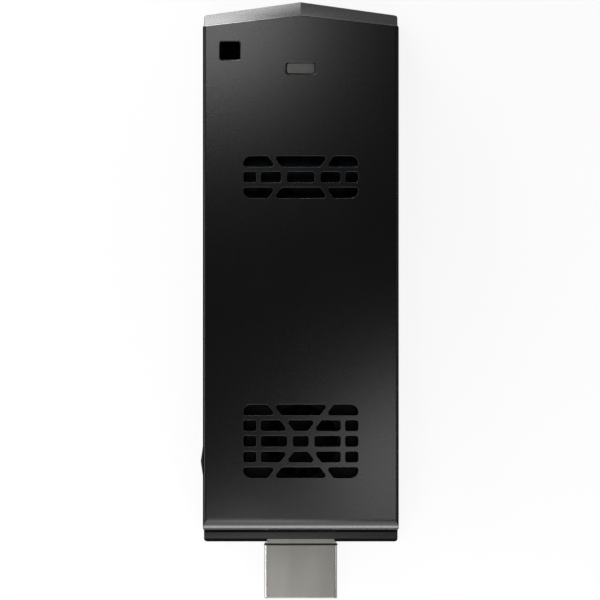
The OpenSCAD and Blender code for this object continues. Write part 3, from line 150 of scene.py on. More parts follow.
# tones follow the cloud and roughness the grain; cloud, grain and bump are in millimetres
finishes = {
    "coverSatin": dict(
        dark=(0.0014, 0.0014, 0.0015), light=(0.002, 0.002, 0.0021), rough=(0.26, 0.3),
        grain=0.16, cloud=9, bump=0.003),
    "traySatin": dict(
        dark=(0.0014, 0.0014, 0.0015), light=(0.002, 0.002, 0.0021), rough=(0.26, 0.3),
        grain=0.16, cloud=9, bump=0.003, gloss=0.4),
    "rimSatin": dict(
        dark=(0.0014, 0.0014, 0.0015), light=(0.002, 0.002, 0.0021), rough=(0.52, 0.58),
        grain=0.16, cloud=9, bump=0.003),
    # painted shade: darker and almost without gloss, so that the tray's inside reads black through
    # holes and vents
    "insideMatte": dict(
        dark=(0.001, 0.001, 0.001), light=(0.0015, 0.0015, 0.0015), rough=(0.85, 0.95),
        grain=0.16, cloud=9, bump=0.003, gloss=0.02),
    "ledgeMatte": dict(
        dark=(0.002, 0.002, 0.0021), light=(0.0028, 0.0028, 0.0029), rough=(0.3, 0.36),
        grain=0.18, cloud=9, bump=0.004, gloss=0.22),
    "wallMatte": dict(
        dark=(0.002, 0.002, 0.0021), light=(0.0028, 0.0028, 0.0029), rough=(0.42, 0.5),
        grain=0.2, cloud=9, bump=0.006, gloss=0.22),
    # painted shade: almost no gloss, so that outer rounded edges, the roll's lowest part and a seam
    # strip read black
    "edgeBlack": dict(
        dark=(0.0015, 0.0015, 0.0016), light=(0.002, 0.002, 0.0021), rough=(0.5, 0.58),
        grain=0.2, cloud=9, bump=0.004, gloss=0.01),
    "buttonSatin": dict(
        dark=(0.003, 0.003, 0.0031), light=(0.004, 0.004, 0.0041), rough=(0.36, 0.42),
        grain=0.14, cloud=4, bump=0.004, gloss=0.28),
    "smokedLens": dict(
        dark=(0.05, 0.05, 0.048), light=(0.062, 0.062, 0.059), rough=(0.22, 0.28),
        grain=0.3, cloud=2, bump=0.002),
    # painted shade: the plug's steel made far darker than steel is, on its broad faces
    "plugMetal": dict(
        dark=(0.148, 0.143, 0.132), light=(0.168, 0.162, 0.15), rough=(0.32, 0.37), metal=1.0,
        grain=0.12, cloud=3, bump=0.0015, stretch=(1, 0.25, 1)),
    # painted highlight: the same steel at its own lightness, put on the upper rounded corners
    "plugEdge": dict(
        dark=(0.56, 0.55, 0.52), light=(0.66, 0.65, 0.62), rough=(0.2, 0.26), metal=1.0,
        grain=0.1, cloud=2, bump=0.001, stretch=(1, 0.25, 1)),
    "portMetal": dict(
        dark=(0.52, 0.52, 0.53), light=(0.6, 0.6, 0.61), rough=(0.24, 0.32), metal=1.0,
        grain=0.1, cloud=3, bump=0.0015, stretch=(0.3, 1, 1)),
    "insulatorBlack": dict(
        dark=(0.004, 0.004, 0.0043), light=(0.006, 0.006, 0.0063), rough=(0.5, 0.6),
        grain=0.12, cloud=3, bump=0.004, gloss=0.15),
    "contactGold": dict(
        dark=(0.72, 0.49, 0.17), light=(0.83, 0.6, 0.25), rough=(0.2, 0.28), metal=1.0,
        grain=0.08, cloud=1.2, bump=0.001),
    "sliderIvory": dict(
        dark=(0.62, 0.59, 0.52), light=(0.7, 0.67, 0.6), rough=(0.42, 0.5),
        grain=0.12, cloud=2, bump=0.003),
    "springWire": dict(
        dark=(0.5, 0.5, 0.51), light=(0.6, 0.6, 0.61), rough=(0.22, 0.3), metal=1.0,
        grain=0.05, cloud=0.6, bump=0.001),
    "switchDark": dict(
        dark=(0.022, 0.022, 0.023), light=(0.03, 0.03, 0.031), rough=(0.42, 0.5),
        grain=0.12, cloud=2, bump=0.003),
    "plungerGrey": dict(
        dark=(0.22, 0.22, 0.22), light=(0.27, 0.27, 0.27), rough=(0.4, 0.48),
        grain=0.12, cloud=2, bump=0.003),
    "screwSteel": dict(
        dark=(0.5, 0.5, 0.52), light=(0.6, 0.6, 0.62), rough=(0.26, 0.36), metal=1.0,
        grain=0.08, cloud=0.9, bump=0.002),
    "screwBlack": dict(
        dark=(0.014, 0.014, 0.015), light=(0.02, 0.02, 0.022), rough=(0.38, 0.48), metal=1.0,
        grain=0.08, cloud=0.9, bump=0.002),
    "nutNickel": dict(
        dark=(0.46, 0.42, 0.31), light=(0.54, 0.5, 0.38), rough=(0.26, 0.36), metal=1.0,
        grain=0.08, cloud=0.9, bump=0.002),
    "chipCarrier": dict(
        dark=(0.016, 0.03, 0.021), light=(0.022, 0.038, 0.028), rough=(0.34, 0.42),
        grain=0.2, cloud=4, bump=0.003),
    "dieSilicon": dict(
        dark=(0.1, 0.11, 0.14), light=(0.14, 0.15, 0.19), rough=(0.1, 0.16), metal=1.0,
        grain=0.3, cloud=6, bump=0.0005),
    "chipEpoxy": dict(
        dark=(0.011, 0.011, 0.012), light=(0.016, 0.016, 0.017), rough=(0.5, 0.62),
        grain=0.1, cloud=3, bump=0.005),
    "padSoft": dict(
        dark=(0.29, 0.34, 0.39), light=(0.35, 0.4, 0.45), rough=(0.7, 0.85),
        grain=0.25, cloud=3, bump=0.02),
    "ferriteGrey": dict(
        dark=(0.05, 0.05, 0.054), light=(0.075, 0.075, 0.08), rough=(0.5, 0.64),
        grain=0.12, cloud=1.5, bump=0.008),
    "capacitorTan": dict(
        dark=(0.32, 0.22, 0.11), light=(0.4, 0.28, 0.15), rough=(0.45, 0.55),
        grain=0.1, cloud=1, bump=0.003),
    "solderTin": dict(
        dark=(0.58, 0.58, 0.58), light=(0.68, 0.68, 0.68), rough=(0.26, 0.4), metal=1.0,
        grain=0.1, cloud=0.8, bump=0.006),
    "canTin": dict(
        dark=(0.5, 0.51, 0.52), light=(0.58, 0.59, 0.6), rough=(0.28, 0.36), metal=1.0,
        grain=0.1, cloud=4, bump=0.002, stretch=(0.25, 1, 1)),
    "sinkMetal": dict(
        dark=(0.52, 0.53, 0.54), light=(0.62, 0.63, 0.64), rough=(0.3, 0.42), metal=1.0,
        grain=0.09, cloud=2.5, bump=0.004, stretch=(1, 0.06, 1)),
    "fanBlack": dict(
        dark=(0.0022, 0.0022, 0.0023), light=(0.003, 0.003, 0.0031), rough=(0.7, 0.8),
        grain=0.12, cloud=3, bump=0.004, gloss=0.06),
    # black coating made darker still, as painted shade seen through the vents
    "plateBlack": dict(
        dark=(0.0018, 0.0018, 0.0019), light=(0.0026, 0.0026, 0.0028), rough=(0.75, 0.85),
        grain=0.1, cloud=3, bump=0.004, gloss=0.08),
    "copperSheet": dict(
        dark=(0.62, 0.25, 0.1), light=(0.74, 0.34, 0.16), rough=(0.28, 0.38), metal=1.0,
        grain=0.1, cloud=1.5, bump=0.002),
    "bronzePorous": dict(
        dark=(0.42, 0.24, 0.08), light=(0.55, 0.34, 0.12), rough=(0.4, 0.55), metal=1.0,
        grain=0.08, cloud=0.5, bump=0.01),
    # red wire darkened far below its own colour, as painted shade inside the case
    "leadRed": dict(
        dark=(0.03, 0.002, 0.002), light=(0.04, 0.003, 0.003), rough=(0.4, 0.5),
        grain=0.1, cloud=1, bump=0.002),
    "cableDark": dict(
        dark=(0.022, 0.022, 0.024), light=(0.031, 0.031, 0.033), rough=(0.42, 0.52),
        grain=0.1, cloud=1, bump=0.002),
    "ledCream": dict(
        dark=(0.7, 0.66, 0.46), light=(0.8, 0.76, 0.56), rough=(0.2, 0.3),
        grain=0.1, cloud=0.5, bump=0.002),
}
finish = {name: grainFinish(name, look) for name, look in finishes.items()}

# all three tones are darkened far below a real board's, as painted shade inside the case
boardLook = {
    "mask": (0.0012, 0.003, 0.0055),
    "copper": (0.0022, 0.006, 0.011),  # copper under the mask
    "via": (0.004, 0.01, 0.018),  # vias are covered by the mask too
    "traceStep": 1.7,
    "traceSpread": 0.7,
    "traceEdge": (0.1, 0.13),
    "viaStep": 2.6,
    "viaSize": 0.075,
    "rough": 0.4,
    "gloss": 0.1,
    "bump": (0.4, 0.01),  # strength, depth
}


def boardFinish(look):
    material, tree, shader, place = startFinish("boardMask")
    lines = addNode(tree, "ShaderNodeTexVoronoi", {
        "Scale": 1 / (look["traceStep"] * mm), "Randomness": look["traceSpread"]},
        feature="DISTANCE_TO_EDGE")
    dots = addNode(tree, "ShaderNodeTexVoronoi", {"Scale": 1 / (look["viaStep"] * mm)},
                   feature="F1")
    for pattern in (lines, dots):
        tree.links.new(place, pattern.inputs["Vector"])
    masked = tonesBy(tree, lines.outputs["Distance"], look["mask"], look["copper"],
                     look["traceEdge"])
    isVia = addNode(tree, "ShaderNodeMath", {1: look["viaSize"]}, operation="LESS_THAN")
    mix = addNode(tree, "ShaderNodeMix", {"B": (*look["via"], 1)}, data_type="RGBA")
    tree.links.new(masked, mix.inputs["A"])
    join(tree, (dots, "Distance", isVia, 0), (isVia, 0, mix, "Factor"),
         (mix, "Result", shader, "Base Color"))
    addBump(tree, shader, masked, *look["bump"])
    shader.inputs["Roughness"].default_value = look["rough"]
    shader.inputs["Specular IOR Level"].default_value = look["gloss"]
    return material


finish["boardMask"] = boardFinish(boardLook)
print("finishes:", len(finish))


# helpers for pieces

easing = {
    "weld": 0.0004,  # points closer than this become one
    "level": 0.3,  # faces that turn less than this become one, in degrees
    "ridge": 3,  # from this turn on, a ridge between broad faces stays crisp
    "sharp": 35,  # edges that turn more than this are eased
    "broad": 30,  # in square millimetres
    "steps": 2,
    "sliver": 0.00005,  # narrower strips that a bevel leaves are taken out
    "weight": 80,
}


def linked(name, mesh):
    piece = bpy.data.objects.new(name, mesh)
    bpy.context.scene.collection.objects.link(piece)
    return piece


def dressed(piece, look, body, slot, *replaced):
    piece.data.materials.clear()
    piece.data.materials.append(finish[look])
    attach(piece, body)
    if replaced:
        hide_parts(*replaced)
    return piece


def settled(piece):
    graph = bpy.context.evaluated_depsgraph_get()
    mesh = bpy.data.meshes.new_from_object(piece.evaluated_get(graph))
    piece.modifiers.clear()
    piece.data = mesh
    return piece


def smoothEdges(mesh):
    mesh.shade_smooth()
    mesh.set_sharp_from_angle(angle=math.radians(easing["sharp"]))


def fromBmesh(name, bm):
    bmesh.ops.recalc_face_normals(bm, faces=bm.faces)
    mesh = bpy.data.meshes.new(name)
    bm.to_mesh(mesh)
    bm.free()
    return mesh


def cutAcross(bm, cuts):
    # extra edges across a piece, so that its shading turns close to its ends
    for axis, places in cuts.items():
        side = Vector([float(axis == letter) for letter in "XYZ"])
        for place in places:
            bmesh.ops.bisect_plane(bm, geom=bm.verts[:] + bm.edges[:] + bm.faces[:],
                                   dist=easing["weld"] * mm, plane_co=side * place * mm,
                                   plane_no=side)


def drooped(bm, droop):
    # a flat strip bends down a little from its start to its end along Y
    for vertex in bm.verts:
        along = (droop["start"] - vertex.co.y / mm) / (droop["start"] - droop["end"])
        if vertex.co.z > droop["low"] * mm and along > 0:
            vertex.co.z -= droop["depth"] * min(along, 1) ** 2 * mm


def solidCopy(node):
    # a merged copy of a solid, with one face for each flat
    bm = bmesh.new()
    bm.from_mesh(nodes[node].data)
    for layer in list(bm.loops.layers.uv):
        bm.loops.layers.uv.remove(layer)
    bmesh.ops.remove_doubles(bm, verts=bm.verts, dist=easing["weld"] * mm)
    bmesh.ops.dissolve_limit(bm, angle_limit=math.radians(easing["level"]), verts=bm.verts,
                             edges=bm.edges)
    return bm


def markEdges(bm, width, rims, rimWidth):
    # every sharp edge gets its share of the widest bevel
    weight = bm.edges.layers.float.new("bevel_weight_edge")
    for edge in bm.edges:
        turn = math.degrees(edge.calc_face_angle())
        broad = min(face.calc_area() for face in edge.link_faces) > easing["broad"] * mm * mm
        edge.smooth = not (easing["ridge"] < turn < easing["sharp"] and broad)
        if turn > easing["sharp"]:
            middle = (edge.verts[0].co + edge.verts[1].co) / 2 / mm
            atRim = any(all(low < c < high for c, low, high in zip(middle, *rim)) for rim in rims)
            edge[weight] = (rimWidth if atRim else width) / max(width, rimWidth)
    for face in bm.faces:
        face.smooth = True


def eased(name, node, width, rims=(), rimWidth=0.0, cuts=None, droop=None):
    # a solid's shape with its sharp edges eased, and more so at the rims of some openings
    bm = solidCopy(node)
    cutAcross(bm, cuts or {})
    if droop:
        drooped(bm, droop)
    markEdges(bm, width, rims, rimWidth)
    mesh = bpy.data.meshes.new(name)
    bm.to_mesh(mesh)
    bm.free()
    for extra in [a.name for a in mesh.attributes if a.name == "custom_normal"]:
        mesh.attributes.remove(mesh.attributes[extra])
    piece = linked(name, mesh)
    bevel = piece.modifiers.new("easedEdges", "BEVEL")
    bevel.width = max(width, rimWidth) * mm
    bevel.segments = easing["steps"]
    bevel.limit_method = "WEIGHT"
    bevel.use_clamp_overlap = False
    bevel.loop_slide = False
    settled(piece)
    bm = bmesh.new()
    bm.from_mesh(piece.data)
    bmesh.ops.dissolve_degenerate(bm, dist=easing["sliver"] * mm, edges=bm.edges)
    bm.to_mesh(piece.data)
    bm.free()
    flat = piece.modifiers.new("flatFaces", "WEIGHTED_NORMAL")
    flat.keep_sharp = True
    flat.weight = easing["weight"]
    return settled(piece)


# trees for what repeats or follows a path

roundSteps = {"coil": 24, "coilWire": 10, "wire": 14}  # along a turn, and round a wire


def startTree(name, *sizes):
    # every tree takes a mesh, its own sizes and a finish
    tree = bpy.data.node_groups.new(name, "GeometryNodeTree")
    for label, kind in (("Geometry", "Geometry"), *sizes, ("Material", "Material")):
        tree.interface.new_socket(label, in_out="INPUT", socket_type="NodeSocket" + kind)
    tree.interface.new_socket("Geometry", in_out="OUTPUT", socket_type="NodeSocketGeometry")
    return tree, tree.nodes.new("NodeGroupInput")


def endTree(tree, start, last, output):
    real = addNode(tree, "GeometryNodeRealizeInstances")
    paint = addNode(tree, "GeometryNodeSetMaterial")
    end = addNode(tree, "NodeGroupOutput")
    join(tree, (last, output, real, "Geometry"), (real, "Geometry", paint, "Geometry"),
         (start, "Material", paint, "Material"), (paint, "Geometry", end, "Geometry"))
    return tree


def rowTree():
    tree, start = startTree("rowsOfPieces", ("Count", "Int"), ("Step", "Vector"),
                            ("Rows", "Int"), ("Row Step", "Vector"))
    line = addNode(tree, "GeometryNodeMeshLine")
    rows = addNode(tree, "GeometryNodeMeshLine")
    grid = addNode(tree, "GeometryNodeInstanceOnPoints")
    flatten = addNode(tree, "GeometryNodeRealizeInstances")
    copies = addNode(tree, "GeometryNodeInstanceOnPoints")
    join(tree, (start, "Count", line, "Count"), (start, "Step", line, "Offset"),
         (start, "Rows", rows, "Count"), (start, "Row Step", rows, "Offset"),
         (rows, "Mesh", grid, "Points"), (line, "Mesh", grid, "Instance"),
         (grid, "Instances", flatten, "Geometry"), (flatten, "Geometry", copies, "Points"),
         (start, "Geometry", copies, "Instance"))
    return endTree(tree, start, copies, "Instances")


def ringTree():
    tree, start = startTree("ringOfBlades", ("Count", "Int"), ("Axis", "Vector"))
    line = addNode(tree, "GeometryNodeMeshLine", {"Offset": (0, 0, 0)})
    index = addNode(tree, "GeometryNodeInputIndex")
    share = addNode(tree, "ShaderNodeMath", operation="DIVIDE")
    turn = addNode(tree, "ShaderNodeMath", {1: 2 * math.pi}, operation="MULTIPLY")
    spin = addNode(tree, "ShaderNodeCombineXYZ")
    copies = addNode(tree, "GeometryNodeInstanceOnPoints")
    join(tree, (start, "Count", line, "Count"), (start, "Axis", line, "Start Location"),
         (index, "Index", share, 0), (start, "Count", share, 1), (share, 0, turn, 0),
         (turn, 0, spin, "Z"), (line, "Mesh", copies, "Points"),
         (start, "Geometry", copies, "Instance"), (spin, "Vector", copies, "Rotation"))
    return endTree(tree, start, copies, "Instances")


def placeTree():
    tree, start = startTree("piecesAtPlaces", ("Piece", "Object"), ("Turn", "Float"))
    info = addNode(tree, "GeometryNodeObjectInfo")
    index = addNode(tree, "GeometryNodeInputIndex")
    turn = addNode(tree, "ShaderNodeMath", operation="MULTIPLY")
    spin = addNode(tree, "ShaderNodeCombineXYZ")
    copies = addNode(tree, "GeometryNodeInstanceOnPoints")
    join(tree, (start, "Piece", info, "Object"), (index, "Index", turn, 0),
         (start, "Turn", turn, 1), (turn, 0, spin, "Z"), (start, "Geometry", copies, "Points"),
         (info, "Geometry", copies, "Instance"), (spin, "Vector", copies, "Rotation"))
    return endTree(tree, start, copies, "Instances")


def coilTree():
    tree, start = startTree("springCoil", ("Turns", "Float"), ("Coil Radius", "Float"),
                            ("Wire Radius", "Float"), ("Length", "Float"), ("Start", "Vector"))
    coil = addNode(tree, "GeometryNodeCurveSpiral", {"Resolution": roundSteps["coil"]})
    wire = addNode(tree, "GeometryNodeCurvePrimitiveCircle", {
        "Resolution": roundSteps["coilWire"]})
    sweep = addNode(tree, "GeometryNodeCurveToMesh", {"Fill Caps": True})
    lay = addNode(tree, "GeometryNodeTransform", {"Rotation": (0, math.pi / 2, 0)})
    join(tree, (start, "Coil Radius", coil, "Start Radius"),
         (start, "Coil Radius", coil, "End Radius"), (start, "Turns", coil, "Rotations"),
         (start, "Length", coil, "Height"), (start, "Wire Radius", wire, "Radius"),
         (coil, "Curve", sweep, "Curve"), (wire, "Curve", sweep, "Profile Curve"),
         (sweep, "Mesh", lay, "Geometry"), (start, "Start", lay, "Translation"))
    return endTree(tree, start, lay, "Geometry")


def wireTree():
    tree, start = startTree("sweptWire", ("Wire Radius", "Float"))
    path = addNode(tree, "GeometryNodeMeshToCurve")
    ring = addNode(tree, "GeometryNodeCurvePrimitiveCircle", {"Resolution": roundSteps["wire"]})
    sweep = addNode(tree, "GeometryNodeCurveToMesh", {"Fill Caps": True})
    join(tree, (start, "Geometry", path, "Mesh"), (start, "Wire Radius", ring, "Radius"),
         (path, "Curve", sweep, "Curve"), (ring, "Curve", sweep, "Profile Curve"))
    return endTree(tree, start, sweep, "Mesh")


trees = {
    "row": rowTree(),
    "ring": ringTree(),
    "place": placeTree(),
    "coil": coilTree(),
    "wire": wireTree(),
}


def grown(name, mesh, treeName, **values):
    # runs a tree on a mesh and keeps the result as a plain mesh
    piece = linked(name, mesh)
    modifier = piece.modifiers.new(treeName, "NODES")
    modifier.node_group = trees[treeName]
    for item in trees[treeName].interface.items_tree:
        key = item.name.replace(" ", "")
        key = key[0].lower() + key[1:]
        if item.in_out == "INPUT" and key in values:
            modifier[item.identifier] = values[key]
    settled(piece)
    smoothEdges(piece.data)
    return piece


def inRows(name, mesh, look, count=1, step=(0, 0, 0), rows=1, rowStep=(0, 0, 0)):
    return grown(name, mesh, "row", count=count, step=Vector(step) * mm, rows=rows,
                 rowStep=Vector(rowStep) * mm, material=finish[look])


def atPlaces(name, mesh, look, places, turn=0.0):
    points = bpy.data.meshes.new(name + "Places")
    points.from_pydata([Vector(p) * mm for p in places], [], [])
    single = linked(name + "Single", mesh)
    piece = grown(name, points, "place", piece=single, turn=turn, material=finish[look])
    bpy.data.objects.remove(single)
    return piece


def alongPaths(name, look, paths, radius):
    wires = bpy.data.meshes.new(name + "Paths")
    points, edges = [], []
    for path in paths:
        first = len(points)
        points += [Vector(p) * mm for p in path]
        edges += [(first + i, first + i + 1) for i in range(len(path) - 1)]
    wires.from_pydata(points, edges, [])
    return grown(name, wires, "wire", wireRadius=radius * mm, material=finish[look])


# meshes of single pieces, in millimetres

def walls(bm, low, high):
    for i in range(len(low)):
        k = (i + 1) % len(low)
        bm.faces.new((low[i], low[k], high[k], high[i]))


def lofted(name, bm, rings):
    # joins rings of points and closes both ends
    for a, b in zip(rings, rings[1:]):
        walls(bm, a, b)
    bm.faces.new(rings[0])
    bm.faces.new(rings[-1])
    return fromBmesh(name, bm)


def stripMesh(name, path, width, thick, across):
    # a flat strip bent along points of (run, height); across is the axis of its width
    tightest = 0.5  # keeps the strip from growing too thick in a sharp bend
    bm = bmesh.new()
    rings = []
    for i, point in enumerate(path):
        before = Vector(path[max(i - 1, 0)])
        after = Vector(path[min(i + 1, len(path) - 1)])
        here = Vector(point)
        ahead = (after - before).normalized()
        side = Vector((-ahead.y, ahead.x))
        leg = (after - here).normalized() if after != here else (here - before).normalized()
        side *= thick / 2 / max(abs(side.dot(Vector((-leg.y, leg.x)))), tightest)
        ring = []
        for away, half in ((1, -1), (1, 1), (-1, 1), (-1, -1)):
            run, height = here + side * away
            spread = half * width / 2
            place = (run, spread, height) if across == "Y" else (spread, run, height)
            ring.append(bm.verts.new(Vector(place) * mm))
        rings.append(ring)
    return lofted(name, bm, rings)


def turnInto(bm, profile, around, closed=False):
    # turns points of (radius, height) about Z; closed joins the last ring to the first
    rings = []
    for radius, height in profile:
        turns = [2 * math.pi * j / around for j in range(around)] if radius else [0]
        rings.append([bm.verts.new((radius * mm * math.cos(turn), radius * mm * math.sin(turn),
                                    height * mm)) for turn in turns])
    pairs = list(zip(rings, rings[1:])) + ([(rings[-1], rings[0])] if closed else [])
    for a, b in pairs:
        for j in range(around):
            k = (j + 1) % around
            if len(a) == 1:
                bm.faces.new((a[0], b[j], b[k]))
            elif len(b) == 1:
                bm.faces.new((a[j], a[k], b[0]))
            else:
                bm.faces.new((a[j], a[k], b[k], b[j]))
    return rings


def latheMesh(name, profile, around, closed=False):
    bm = bmesh.new()
    turnInto(bm, profile, around, closed)
    return fromBmesh(name, bm)


def loopAt(bm, points, height):
    verts = [bm.verts.new((x * mm, y * mm, height * mm)) for x, y in points]
    return verts, [bm.edges.new((a, b)) for a, b in zip(verts, verts[1:] + verts[:1])]


def circle(x, y, radius, count=24):
    turns = [2 * math.pi * i / count for i in range(count)]
    return [(x + radius * math.cos(turn), y + radius * math.sin(turn)) for turn in turns]


def plateMesh(name, outline, holes, low, high, ease):
    # a flat plate with round holes and a small bevel along its outer edges
    inward = 1.4  # a corner goes in by this many times the bevel
    bm = bmesh.new()
    middle = Vector([sum(place) / len(outline) for place in zip(*outline)])
    shrunk = []
    for point in outline:
        away = (Vector(point) - middle).normalized()
        shrunk.append(tuple(Vector(point) - away * ease * inward))
    levels = [loopAt(bm, shrunk, low), loopAt(bm, outline, low + ease),
              loopAt(bm, outline, high - ease), loopAt(bm, shrunk, high)]
    for a, b in zip(levels, levels[1:]):
        walls(bm, a[0], b[0])
    ends = [list(levels[0][1]), list(levels[-1][1])]
    for hole in holes:
        bottom, top = loopAt(bm, hole, low), loopAt(bm, hole, high)
        walls(bm, bottom[0], top[0])
        ends[0] += bottom[1]
        ends[1] += top[1]
    for edges in ends:
        bmesh.ops.triangle_fill(bm, use_beauty=True, edges=edges)
    return fromBmesh(name, bm)


def blockMesh(name, size, ease):
    # a block about its own base centre, with eased edges
    bm = bmesh.new()
    bmesh.ops.create_cube(bm, size=1)
    bmesh.ops.scale(bm, vec=Vector(size) * mm, verts=bm.verts)
    bmesh.ops.translate(bm, vec=(0, 0, size[2] / 2 * mm), verts=bm.verts)
    bmesh.ops.bevel(bm, geom=bm.edges[:], offset=ease * mm, segments=easing["steps"],
                    profile=0.5, affect="EDGES")
    return fromBmesh(name, bm)


def moved(mesh, x, y, z):
    for vertex in mesh.vertices:
        vertex.co += Vector((x, y, z)) * mm
    return mesh


def bowed(start, end, height, depth, count=8):
    # points of a spring finger that bows away from a straight line
    return [(start + (end - start) * i / count,
             height - depth * math.sin(math.pi * i / count)) for i in range(count + 1)]


# case: cover, tray, button and lens keep the solids' shapes with eased edges

caseEdges = {
    "cover": 0.07,  # widths of the eased edges
    "tray": 0.07,
    "button": 0.12,
    "lens": 0.1,
    "rim": 0.2,
    "rims": [((-4, 37, 12.4), (4, 41, 12.6)),  # indicator window
             ((-16.5, 39.5, 12.4), (-10.5, 45, 12.6))],  # lanyard hole
    "inside": ((-17.9, -49.2, 0.6), (17.9, 46, 9.1)),  # faces of the tray that look inward, which get painted shade
    "ridge": 6.5,  # degrees by which each half of the rear end turns back
    "upright": (-0.95, 0.3),  # how far the walls lean
    "edgeTurn": 0.4,  # the rounded side edges lean out further than this
    "edgeAt": 17.5,
    "frontTurn": 0.2,
    "frontFrom": -50.5,
    "ledge": (-49.95, 9.0),  # the ledge reaches beyond this in front, above this height
    "flat": 0.95,
    "seam": (-49.95, -49.6),  # where the ledge ends under the cover; a strip here gets a painted shadow gap
    "rollTurn": 0.9,  # the lowest part of the rolled edge leans out further than this
    "rollUp": 0.05,
    "rollFrom": -49.3,
    "vents": [((-12.2, -40.5), (12.2, -24)), ((-12.2, 13), (12.2, 24))],
    "ventTurn": (0.3, 0.985),  # how far the rims of the vents lean
    "coverCuts": {"X": (-18, 18), "Y": (-47, 46.5)},
    "trayCuts": {"Y": (-50.6, -50.3, -50.05, -49.88)},
    "droop": dict(start=-49.7, end=-50.9, low=8.5, depth=0.079),  # of the ledge's front
}


def paintFaces(piece, look, chosen):
    # the chosen faces of a piece get a further finish
    piece.data.materials.append(finish[look])
    for face in piece.data.polygons:
        if chosen(face):
            face.material_index = len(piece.data.materials) - 1


def isWall(face, edges):
    low, high = edges["upright"]
    return low < face.normal.z < high


def foremost(face, mesh):
    # the lowest Y of a face
    return min(mesh.vertices[i].co.y for i in face.vertices) / mm


# faces that get painted shade: the rounded outer edges at the sides and front, a strip of the ledge
# at the seam as a painted shadow gap, and the lowest part of the rolled edge
def isEdge(face, mesh, edges):
    x, y, z = face.center / mm
    out, ahead, up = face.normal
    behind, front = edges["seam"]
    atSide = abs(out) > edges["edgeTurn"] and abs(x) > edges["edgeAt"]
    atFront = ahead < -edges["frontTurn"] and y < edges["frontFrom"]
    atSeam = behind < foremost(face, mesh) < front and z > edges["ledge"][1]
    atRoll = ahead < -edges["rollTurn"] and y < edges["rollFrom"] and up > edges["rollUp"]
    return atRoll or up > edges["upright"][1] and (atSide or atFront or atSeam)


def isLedge(face, mesh, edges):
    front, low = edges["ledge"]
    level = face.normal.z > edges["flat"] and face.center.z > low * mm
    return level and foremost(face, mesh) < front


def isVentRim(face, edges):
    low, high = edges["ventTurn"]
    x, y, _ = face.center / mm
    atVent = any(x0 < x < x1 and y0 < y < y1 for (x0, y0), (x1, y1) in edges["vents"])
    return atVent and low < face.normal.z < high


# the tray's inward faces, which get painted shade
def isInside(point, edges):
    low, high = edges["inside"]
    x, y, z = point / mm
    roof = high[1] - abs(x) * math.tan(math.radians(edges["ridge"]))
    return low[0] < x < high[0] and low[1] < y < roof and low[2] < z < high[2]


cover = eased("caseCover", "top_cover", caseEdges["cover"], caseEdges["rims"], caseEdges["rim"],
              cuts=caseEdges["coverCuts"])
dressed(cover, "coverSatin", "case", "case_black", "top_cover")
tray = eased("caseTray", "bottom_tray", caseEdges["tray"], cuts=caseEdges["trayCuts"],
             droop=caseEdges["droop"])
dressed(tray, "traySatin", "case", "case_black", "bottom_tray")
for piece in (cover, tray):
    paintFaces(piece, "wallMatte", lambda face: isWall(face, caseEdges))
    paintFaces(piece, "edgeBlack", lambda face: isEdge(face, piece.data, caseEdges))
paintFaces(cover, "rimSatin", lambda face: isVentRim(face, caseEdges))
paintFaces(tray, "ledgeMatte", lambda face: isLedge(face, tray.data, caseEdges))
paintFaces(tray, "insideMatte", lambda face: isInside(face.center, caseEdges))
button = eased("pressButton", "power_button", caseEdges["button"])
dressed(button, "buttonSatin", "power_button", "button_black", "power_button")
lens = eased("indicatorLens", "led_lens", caseEdges["lens"])
dressed(lens, "smokedLens", "case", "lens_grey", "led_lens")
print("case: cover, tray, button, lens")


# plug and ports

shellEdges = {
    "plug": 0.1,
    "rim": 0.05,
    "port": 0.06,
    "lip": 0.22,
    "lips": [((-7, -62.7, 8.25), (7, -62.5, 8.5)), ((-7, -62.7, 5), (-6.8, -62.5, 8.5)),
             ((6.8, -62.7, 5), (7, -62.5, 8.5))],  # outer edges of the open end
    "corner": (0.7, 0.985),  # how far the corners with the painted highlight lean
    "cornerLow": 7.0,
    "endTurn": 0.3,  # faces at the open end are left out of the painted highlight
}


# faces on the upper rounded corners, which get the lighter copy of the steel as a painted highlight
def isCorner(face, edges):
    low, high = edges["corner"]
    leans = low < face.normal.z < high and abs(face.normal.y) < edges["endTurn"]
    return leans and face.center.z > edges["cornerLow"] * mm


plugShell = eased("plugShell", "hdmi_shell", shellEdges["plug"], shellEdges["lips"],
                  shellEdges["lip"])
dressed(plugShell, "plugMetal", "case", "plug_steel", "hdmi_shell")
plugShield = eased("plugShield", "hdmi_shield", shellEdges["rim"])
dressed(plugShield, "plugMetal", "case", "plug_steel", "hdmi_shield")
for piece in (plugShell, plugShield):
    paintFaces(piece, "plugEdge", lambda face: isCorner(face, shellEdges))
for name, node, edge, look, slot in (
        ("plugInsulator", "hdmi_insulator", "rim", "insulatorBlack", "insulator_black"),
        ("usbShell", "usb_shell", "port", "portMetal", "port_steel"),
        ("powerShell", "micro_usb_shell", "port", "portMetal", "port_steel")):
    dressed(eased(name, node, shellEdges[edge]), look, "case", slot, node)

